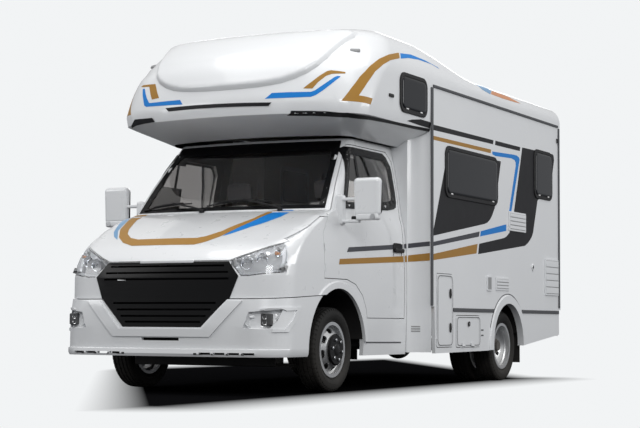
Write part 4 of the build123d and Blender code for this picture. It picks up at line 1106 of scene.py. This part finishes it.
lampValues = {
    "headlamp": dict(keep=lambda c: c.z > 0.8 and c.y > 0, heading=(1, 0.6, 0.2),
                     steps=[(0.009, 0.0, 1), (0.006, -0.020, 1), (0.016, -0.020, 2)],
                     finishes=["darkGrey", "wheelSilver", "greyPlastic"],
                     bowls=[(0.690, 1.000, 0.046, 0.030, "lensGlass"), (0.800, 1.030, 0.042, 0.034, "lensGlass"),
                            (0.895, 1.075, 0.026, 0.030, "amberLens")]),
    "fogLamp": dict(keep=lambda c: c.z < 0.8 and c.y > 0, heading=(1, 0.4, 0),
                    steps=[(0.006, -0.004, 0), (0.012, -0.014, 0), (0.010, -0.002, 0)],
                    finishes=["whitePaint"], bowls=[]),
}
headlamp = lampUnit("headlamp", **lampValues["headlamp"])
lampUnit("fogLamp", **lampValues["fogLamp"])
fogRing = inPlane(2.5, [(0.628, 0.552), (0.690, 0.628), (0.745, 0.660), (0.990, 0.668), (0.962, 0.560),
                        (0.925, 0.480), (0.700, 0.474)])
fogHole = inPlane(2.5, [(0.715, 0.553), (0.745, 0.600), (0.762, 0.626), (0.968, 0.645), (0.945, 0.565),
                        (0.903, 0.500), (0.722, 0.506)])
bumperSkin = skinOf("front_bumper")
ring = wrap("fogSurround", fogRing, (1, 0.3, 0), bumperSkin, "front_bumper", "whitePaint", fogHole, grid=0.03,
            thick=0.009)
twinOf(ring, "front_bumper")
fogAt = hitFrom(bumperSkin, (4, 0.70, 0.53), (-1, 0, 0)).x - 0.075
both(box((fogAt - 0.03, 0.835, 0.528), (fogAt + 0.012, 0.925, 0.618), 0.01, 3), "fogUnit", "lamps", "darkGrey")
for count, z in enumerate((0.552, 0.594)):
    eye = lathe([(0.001, -0.012), (0.012, -0.008), (0.0165, 0.0), (0.019, 0.001), (0.019, -0.006)],
                (fogAt + 0.0135, 0.872, z), "x", 24)
    both(eye, f"fogEye{count}", "lamps", "chrome")
slot = inPlane(3.2, [(0.358, 0.304), (0.845, 0.304), (0.845, 0.318), (0.358, 0.318)])
lipSlot = wrap("lipSlot", slot, (1, 0.2, 0), bumperSkin, "front_bumper", "blackPlastic", lift=0.002)
twinOf(lipSlot, "front_bumper")
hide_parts("lamps")
print("lamps done")


# grille backing and nose
place(box((2.700, -0.50, 0.53), (2.712, 0.50, 0.995), 0.004), "radiatorFace", "grille", "blackPlastic")
bezel = inPlane(2.5, [(-0.735, 0.742), (-0.44, 0.440), (0.44, 0.440), (0.735, 0.742), (0.612, 0.742), (0.378, 0.500),
                      (-0.378, 0.500), (-0.612, 0.742)])
wrap("grilleBezel", bezel, (1, 0, 0), bumperSkin, "front_bumper", "whitePaint", grid=0.03, thick=0.010)
# a black plate low behind the bumper: partly an air dam, partly a dark sheet standing in for the shade under the
# vehicle
place(box((2.310, -0.66, 0.205), (2.330, 0.66, 0.46), 0.008), "airDamShadeSheet", "front_bumper", "blackPlastic")
place(box((2.868, -0.245, 1.003), (2.8925, 0.245, 1.030), 0.008, 3), "bonnetTab", "bonnet", "whitePaint")


# windscreen surround and wipers
screenRim = inPlane(2.3, bothWays([(0.892, 1.472), (0.868, 1.620), (0.824, 1.850), (0.785, 2.050), (0.740, 2.175)]))
screenHole = inPlane(2.3, bothWays([(0.828, 1.502), (0.808, 1.640), (0.772, 1.840), (0.742, 1.962), (0.715, 1.985)]))
screenSkin = skinOf("windscreen", "cab_shell")
wrap("screenBorder", screenRim, (1, 0, 0), screenSkin, "windscreen", "glossBlack", screenHole, lift=0.003,
     thick=0.003)


def wiper(name, path, pivot):  # blade along the foot of the screen, arm back to its pivot
    on = []
    for y, z in path:
        at = hitFrom(screenSkin, (4, y, z), (-1, 0, 0))
        on.append(Vector((at.x + 0.014, y, z + 0.004)))
    blade = rod(on, 0.0065, 8)
    spine = rod([p + Vector((0.012, 0, 0.008)) for p in on[1:-1]], 0.005, 8)
    foot = hitFrom(screenSkin, (pivot[0], pivot[1], 3), (0, 0, -1))
    middle = on[len(on) // 2] + Vector((0.018, 0, 0.012))
    arm = rod([foot + Vector((0, 0, 0.004)), foot + Vector((0, 0, 0.028)), foot.lerp(middle, 0.35)
               + Vector((0.004, 0, 0.020)), middle], 0.008, 8)
    cap = disc((foot.x, foot.y, foot.z + 0.014), 0.022, 0.03, "Z", 24, 0.006)
    place(join([blade, spine, arm, cap]), name, "windscreen", "blackPlastic", 40)


wipers = {  # name: (places of the blade in y and z, pivot in x and y)
    "wiperRight": ([(-0.845, 1.492), (-0.74, 1.512), (-0.64, 1.525), (-0.54, 1.534), (-0.44, 1.538), (-0.36, 1.538)],
                   (2.030, -0.215)),
    "wiperLeft": ([(-0.19, 1.510), (-0.08, 1.530), (0.04, 1.541), (0.16, 1.545), (0.28, 1.543), (0.40, 1.535)],
                  (2.020, 0.520)),
}
for name, (path, pivot) in wipers.items():
    wiper(name, path, pivot)


# mirrors and cab doors
mirror = {  # low corner, high corner, edge radius, edge steps
    "head": ((1.774, 1.094, 1.402), (1.8585, 1.3285, 1.7155), 0.034, 5),
    "pod": ((1.778, 1.118, 1.3715), (1.855, 1.312, 1.432), 0.018, 4),
    "base": ((1.7735, 0.930, 1.338), (1.845, 0.999, 1.588), 0.022, 4),
    "armHigh": ((1.790, 0.985, 1.534), (1.838, 1.125, 1.560), 0.009, 3),
    "armLow": ((1.790, 0.985, 1.355), (1.838, 1.140, 1.382), 0.009, 3),
}
mirrorFoot = {"below": 1.5, "scale": (0.94, 0.93, 1), "about": (1.816, 1.215, 1.45)}  # narrower at the foot
parts = {name: box(*values) for name, values in mirror.items()}
chooseVertices(parts["head"], lambda at: at.z < mirrorFoot["below"])
bpy.ops.transform.resize(value=mirrorFoot["scale"], center_override=mirrorFoot["about"])
leave()
both(join(list(parts.values())), "mirrorShell", "mirror", "whitePaint", 45, True)
both(flat(roundRect(1.112, 1.310, 1.428, 1.698, 0.03, 5), "x", 1.7745, -0.0025), "mirrorGlass", "mirror", "chrome")
both(flat(roundRect(1.104, 1.319, 1.418, 1.707, 0.034, 5), "x", 1.7765, -0.003), "mirrorRim", "mirror", "blackPlastic")
both(box((1.796, 1.070, 1.3745), (1.832, 1.112, 1.408), 0.007), "mirrorJoint", "mirror", "blackPlastic")
both(disc((1.8545, 1.272, 1.400), 0.024, 0.010, "X", 28, 0.003), "mirrorLamp", "mirror", "wheelSilver")

doorRim = [(1.748, 1.480), (1.560, 1.900), (1.512, 1.995), (1.470, 2.018), (0.820, 2.018), (0.760, 1.990),
           (0.700, 1.915), (0.690, 1.860), (0.690, 1.600), (0.710, 1.555), (0.760, 1.535), (0.880, 1.518)]
doorHole = [(1.640, 1.538), (1.490, 1.870), (1.452, 1.944), (1.430, 1.955), (0.840, 1.955), (0.805, 1.938),
            (0.766, 1.885), (0.762, 1.850), (0.762, 1.640), (0.775, 1.618), (0.800, 1.606), (0.905, 1.588)]
doorRim, doorHole = ([(x, 1.5, z) for x, z in outline] for outline in (doorRim, doorHole))
doorSkin = skinOf("cab_door_left", "door_glass_left", "cab_shell")
rim = wrap("doorWindowRim", doorRim, (0, 1, 0), doorSkin, "cab_door_left", "glossBlack", doorHole, grid=0.02,
           lift=0.003, thick=0.003)
bar = wrap("quarterBar", [(1.350, 1.5, 1.57), (1.385, 1.5, 1.57), (1.385, 1.5, 1.965), (1.350, 1.5, 1.965)], (0, 1, 0),
           doorSkin, "cab_door_left", "glossBlack", grid=0.02, lift=0.002, thick=0.003)
for piece in (rim, bar):
    twinOf(piece, "cab_door_right")
doorFace = hitFrom(skinOf("cab_door_left"), (0.78, 3, 1.17), (0, -1, 0)).y
cup = plate((0.690, 0.868, 1.098, 1.240), 0.03, 5, doorFace - 0.001,
            [(0, 0.0035, 0), (0.008, 0.001, 0), (0.006, -0.003, 0)], ["blackPlastic"])
grip = box((0.684, doorFace + 0.004, 1.158), (0.866, doorFace + 0.030, 1.194), 0.011, 4)
both(join([cup, grip]), "doorHandle", "cab_door", "blackPlastic")
print("mirrors and doors done")


# cab interior
cabMiddle, alcoveMiddle, coachMiddle = Vector((1.25, 0, 1.45)), Vector((0.9, 0, 2.3)), Vector((-1.2, 0, 1.6))
paint(pieces["cab_shell"], "cabLining", lambda c, n: (c - cabMiddle).dot(n) < 0 and c.z > 0.62 and c.x < 2.05)
paint(pieces["cab_surrounds"], "cabLining", lambda c, n: n.y * c.y < -0.25 * abs(c.y))
paint(pieces["overcab_base"], "cabLining", lambda c, n: n.z > 0.5 or (c - alcoveMiddle).dot(n) < 0)
for side, sign in sides.items():
    paint(pieces["cab_door_" + side], "cabLining", lambda c, n: n.y * sign < -0.3 and abs(c.y) < 0.985)
for name in ("left_side_wall", "right_side_wall", "rear_wall"):
    paint(pieces[name], "innerLining", lambda c, n: (c - coachMiddle).dot(n) < 0
          and -2.88 < c.x < 0.4 and abs(c.y) < 1.15)

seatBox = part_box("cab_seats")
seatFloor = seatBox[0][2]


def cushion(low, high, rounding, crown):  # a crowned, closed and padded form
    piece = box(low, high, min(rounding, 0.049), 4)
    editAll(piece)
    bpy.ops.mesh.subdivide(number_cuts=3)
    leave()
    cast = piece.modifiers.new("crown", "CAST")
    cast.factor, cast.cast_type = crown, "SPHERE"
    cast.size = 0.0
    soften = piece.modifiers.new("soften", "SMOOTH")
    soften.factor, soften.iterations = 0.5, 6
    remesh = piece.modifiers.new("remesh", "REMESH")
    remesh.mode, remesh.voxel_size, remesh.use_smooth_shade = "VOXEL", 0.011, True
    settleDown = piece.modifiers.new("settleDown", "SMOOTH")
    settleDown.factor, settleDown.iterations = 0.5, 4
    useModifiers(piece)
    return piece


seat = {"lap": 0.27, "recline": -14, "hinge": (0.87, 0.11), "baseHalf": 0.198,
        "lower": [((0.86, -0.165, 0), (1.362, 0.165, 0.135), 0.04, 0.05),  # low corner, high corner, rounding, crown
                  ((0.88, -0.236, 0.01), (1.340, -0.150, 0.150), 0.035, 0.04),
                  ((0.88, 0.150, 0.01), (1.340, 0.236, 0.150), 0.035, 0.04)],
        "back": [((0.805, -0.160, 0.13), (0.900, 0.160, 0.715), 0.04, 0.05),
                 ((0.800, -0.228, 0.14), (0.925, -0.145, 0.640), 0.035, 0.04),
                 ((0.800, 0.145, 0.14), (0.925, 0.228, 0.640), 0.035, 0.04),
                 ((0.812, -0.122, 0.745), (0.895, 0.122, 0.925), 0.038, 0.06)]}


def cabSeat(y, name, values):
    lap = seatFloor + values["lap"]
    lower, back = ([cushion((x0, y + y0, lap + z0), (x1, y + y1, lap + z1), rounding, crown)
                    for (x0, y0, z0), (x1, y1, z1), rounding, crown in values[key]] for key in ("lower", "back"))
    posts = join([rod([(0.855, y + d, lap + 0.66), (0.855, y + d, lap + 0.80)], 0.007) for d in (-0.06, 0.06)])
    hinge = (values["hinge"][0], y, lap + values["hinge"][1])
    for piece in back + [posts]:
        pick(piece)
        bpy.ops.transform.rotate(value=radians(values["recline"]), orient_axis="Y", center_override=hinge)
    padding = place(join(lower + back), name + "Padding", "cab_seats", "seatCloth", 60)
    place(posts, name + "Posts", "cab_seats", "satinAluminium")
    half = values["baseHalf"]
    base = box((0.862, y - half, seatFloor + 0.004), (1.318, y + half, lap + 0.03), 0.02, 3)
    return place(base, name + "Base", "cab_seats", "blackPlastic")


place(box((1.560, -0.830, 1.300), (1.860, 0.830, 1.462), 0.045, 5), "dashPad", "dashboard", "dashBrown", 50)
driver = cabSeat(0.44, "driverSeat", seat)
cabSeat(-0.44, "passengerSeat", seat)
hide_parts("cab_seats")
print("seats done")


# lockers, vents and side fittings
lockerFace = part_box("tall_locker_door")[1][1]
for name, z in (("latchHigh", 0.819), ("latchLow", 0.515)):
    latch = terrace([(0.062 + 0.019 * cos(a / 12 * pi), z + 0.044 * sin(a / 12 * pi)) for a in range(24)], "y",
                    lockerFace + standOff, 1, [(0, 0.004, 0), (0.003, 0.002, 0), (0.006, -0.003, 0)], ["blackPlastic"])
    place(latch, name, "tall_locker_door")
place(disc((-0.371, lockerFace + 0.003, 0.549), 0.023, 0.006, "Y", 32, 0.002), "squareLock", "square_locker_door",
      "blackPlastic")
place(disc((-0.371, lockerFace + 0.0065, 0.549), 0.009, 0.004, "Y", 20, 0.001), "squareKey", "square_locker_door",
      "satinAluminium")
for count, x in enumerate((-0.455, -0.240)):
    leaf = join([box((x - 0.034, lockerFace + standOff, 0.352), (x + 0.034, lockerFace + 0.005, 0.378), 0.002),
                 rod([(x - 0.03, lockerFace + 0.006, 0.350), (x + 0.03, lockerFace + 0.006, 0.350)], 0.005)])
    place(leaf, f"squareHinge{count}", "square_locker_door", "whitePaint")


def shutLine(name, x0, x1, z0, z1, radius, node, width=0.004):  # dark seal round an opening
    ring = plate((x0 - width, x1 + width, z0 - width, z1 + width), radius, 6, lockerFace + standOff,
                 [(0, 0.0012, 0), (width + 0.0015, 0, 0)], ["sealGrey"])
    chooseFaces(ring, lambda c, n: x0 + 0.02 < c.x < x1 - 0.02 and z0 + 0.02 < c.z < z1 - 0.02)
    bpy.ops.mesh.delete(type="FACE")
    leave()
    solidify(ring, 0.0004, -1)
    place(ring, name, node)


def louvres(name, x0, x1, z0, z1, level, count, node):  # wide slats over a dark gap
    rim = 0.018
    backing = box((x0 + rim, level - 0.001, z0 + rim), (x1 - rim, level + 0.0012, z1 - rim), 0.001)
    place(backing, name + "Gap", node, "greyPlastic")
    parts = []
    pitch = (z1 - z0 - 2 * rim) / count
    for n in range(count):
        z = z0 + rim + (n + 0.5) * pitch
        parts.append(box((x0 + rim * 0.8, level, z - pitch * 0.5 + 0.004),
                         (x1 - rim * 0.8, level + 0.006, z + pitch * 0.5 - 0.004), 0.0025))
    place(join(parts), name, node, "gelCoat")


shutLine("tallLockerEdge", 0.012, 0.342, 0.362, 0.973, 0.055, "tall_locker_door")
shutLine("squareLockerEdge", -0.640, -0.099, 0.356, 0.608, 0.045, "square_locker_door")
for name, x0, x1, z0, z1, thick, count in (
        ("lowerVent", -2.835, -2.437, 0.849, 1.229, 0.014, 5), ("upperVent", -1.866, -1.408, 1.463, 1.655, 0.012, 4),
        ("smallVent", -1.402, -1.058, 0.872, 0.999, 0.009, 3)):
    louvres(name, x0, x1, z0, z1, wallY + thick, count, "side_vents")
inlet = plate((-0.945, -0.828, 0.862, 1.005), 0.012, 4, wallY + standOff,
              [(0, 0.010, 0), (0.006, 0.002, 0), (0.008, -0.002, 1)], ["gelCoat", "greyPlastic"])
place(inlet, "waterFlap", "left_side_wall")
socket = terrace([(-2.086 + 0.042 * cos(a * pi / 2), 1.125 + 0.042 * sin(a * pi / 2)) for a in range(4)], "y",
                 wallY + standOff, 1, [(0, 0.006, 0), (0.005, 0.003, 0), (0.008, -0.002, 1)], ["gelCoat", "darkGrey"])
place(socket, "hookUpSocket", "left_side_wall")
for side, sign in sides.items():
    marker = box((-2.852, wallY + standOff, 2.466), (-2.816, wallY + 0.014, 2.512), 0.005, 3)
    if sign < 0:
        crossOver(marker)
    place(marker, "rearMarker" + side.capitalize(), side + "_side_wall", "blackPlastic")
archSeam = {"outer": 0.4975, "inner": 0.4885, "z": 0.348}
arch = [(archSeam["outer"] * cos(radians(a)), archSeam["outer"] * sin(radians(a))) for a in range(20, 161, 4)]
arch += [(archSeam["inner"] * cos(radians(a)), archSeam["inner"] * sin(radians(a))) for a in range(160, 19, -4)]
arch = [(wheels["rearX"] + x, archSeam["z"] + z) for x, z in arch]
both(flat(arch, "y", wallY + standOff, 0.0012), "archSeam", "side_skirts", "sealGrey")
for count, z in enumerate((0.493, 0.444)):
    slit = box((-0.742, wallY + standOff, z - 0.006), (-0.688, wallY + 0.004, z + 0.006), 0.002)
    place(slit, f"skirtSlit{count}", "side_skirts", "darkGrey")

for name, at, heading in (("markerLeft", (1.606, 0.989, 2.792), (0.75, 0.45, 0.45)),
                          ("markerRight", (1.606, -0.989, 2.792), (0.75, -0.45, 0.45)),
                          ("markerSideLeft", (1.307, 1.175, 2.446), (0, 1, 0)),
                          ("markerSideRight", (1.307, -1.175, 2.446), (0, -1, 0))):
    lens = box((-0.042, -0.014, -0.004), (0.042, 0.014, 0.012), 0.006, 3)
    lens.rotation_euler = Vector(heading).to_track_quat("Z", "Y").to_euler()
    lens.location = at
    place(lens, name, "overcab_moulding", "blackPlastic" if "Side" in name else "greyPlastic")

# a flat grey strip along the sill: painted shade where the step's ridge and recess darken, not a real slot
sill = [(1.435, 1.5, 0.386), (0.700, 1.5, 0.380), (0.700, 1.5, 0.392), (1.437, 1.5, 0.398)]
step = wrap("sillShadeLine", sill, (0, 1, 0), skinOf("cab_shell"), "cab_shell", "sealGrey", grid=0.05)
twinOf(step, "cab_shell")
for count, z in enumerate((0.478, 0.498, 0.518)):
    slot = wrap(f"cornerLouvre{count}", [(0.560, 1.022, z), (0.500, 1.083, z), (0.500, 1.083, z + 0.011),
                                         (0.560, 1.022, z + 0.011)], (0.7, 0.7, 0), skinOf("cab_surrounds"),
                "cab_surrounds", "greyPlastic", grid=0.03)
    twinOf(slot, "cab_surrounds")


# entrance door and rear
entryFace = -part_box("entrance_door")[0][1]
entryWindow = plate((-0.535, -0.135, 1.585, 2.095), 0.07, 8, entryFace + 0.0006,
                    [(0, 0.006, 0), (0.004, 0.002, 0), (0.022, 0.0, 0), (0.003, -0.003, 1), (0.004, 0.004, 1),
                     (0.02, 0.002, 1)], ["blackPlastic", "smokedPane"])
place(crossOver(entryWindow), "entryWindow", "entrance_door", None, 30)
pull = join([plate((-0.615, -0.545, 1.18, 1.36), 0.02, 5, entryFace + standOff,
                   [(0, 0.005, 0), (0.004, 0.002, 0), (0.008, -0.004, 0)], ["blackPlastic"]),
             box((-0.596, entryFace + 0.004, 1.22), (-0.566, entryFace + 0.028, 1.33), 0.01, 3)])
place(crossOver(pull), "entryHandle", "entrance_door", "blackPlastic")

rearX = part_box("rear_wall")[0][0]
numberPlate = plate((-0.27, 0.27, 0.66, 0.79), 0.012, 4, rearX - standOff,
                    [(0, 0.003, 0), (0.006, 0.001, 0)], ["gelCoat"], "x", -1)
place(numberPlate, "rearPlate", "rear_wall")
brake = box((rearX - 0.016, -0.16, 2.70), (rearX - standOff, 0.16, 2.735), 0.005, 3)
place(brake, "highBrakeLamp", "rear_wall", "redLens")
for side, sign in sides.items():
    reflector = box((rearX - 0.008, sign * 1.06 - 0.05, 0.66), (rearX - standOff, sign * 1.06 + 0.05, 0.70), 0.003)
    place(reflector, "reflector" + side.capitalize(), "rear_wall", "redLens")
    seam = box((rearX - 0.004, sign * 1.12 - 0.006, 0.50), (rearX - standOff, sign * 1.12 + 0.006, 2.75), 0.0015)
    place(seam, "rearSeam" + side.capitalize(), "rear_wall", "sealGrey")
print("fittings done")


for skin in skins.values():
    bpy.data.objects.remove(skin)
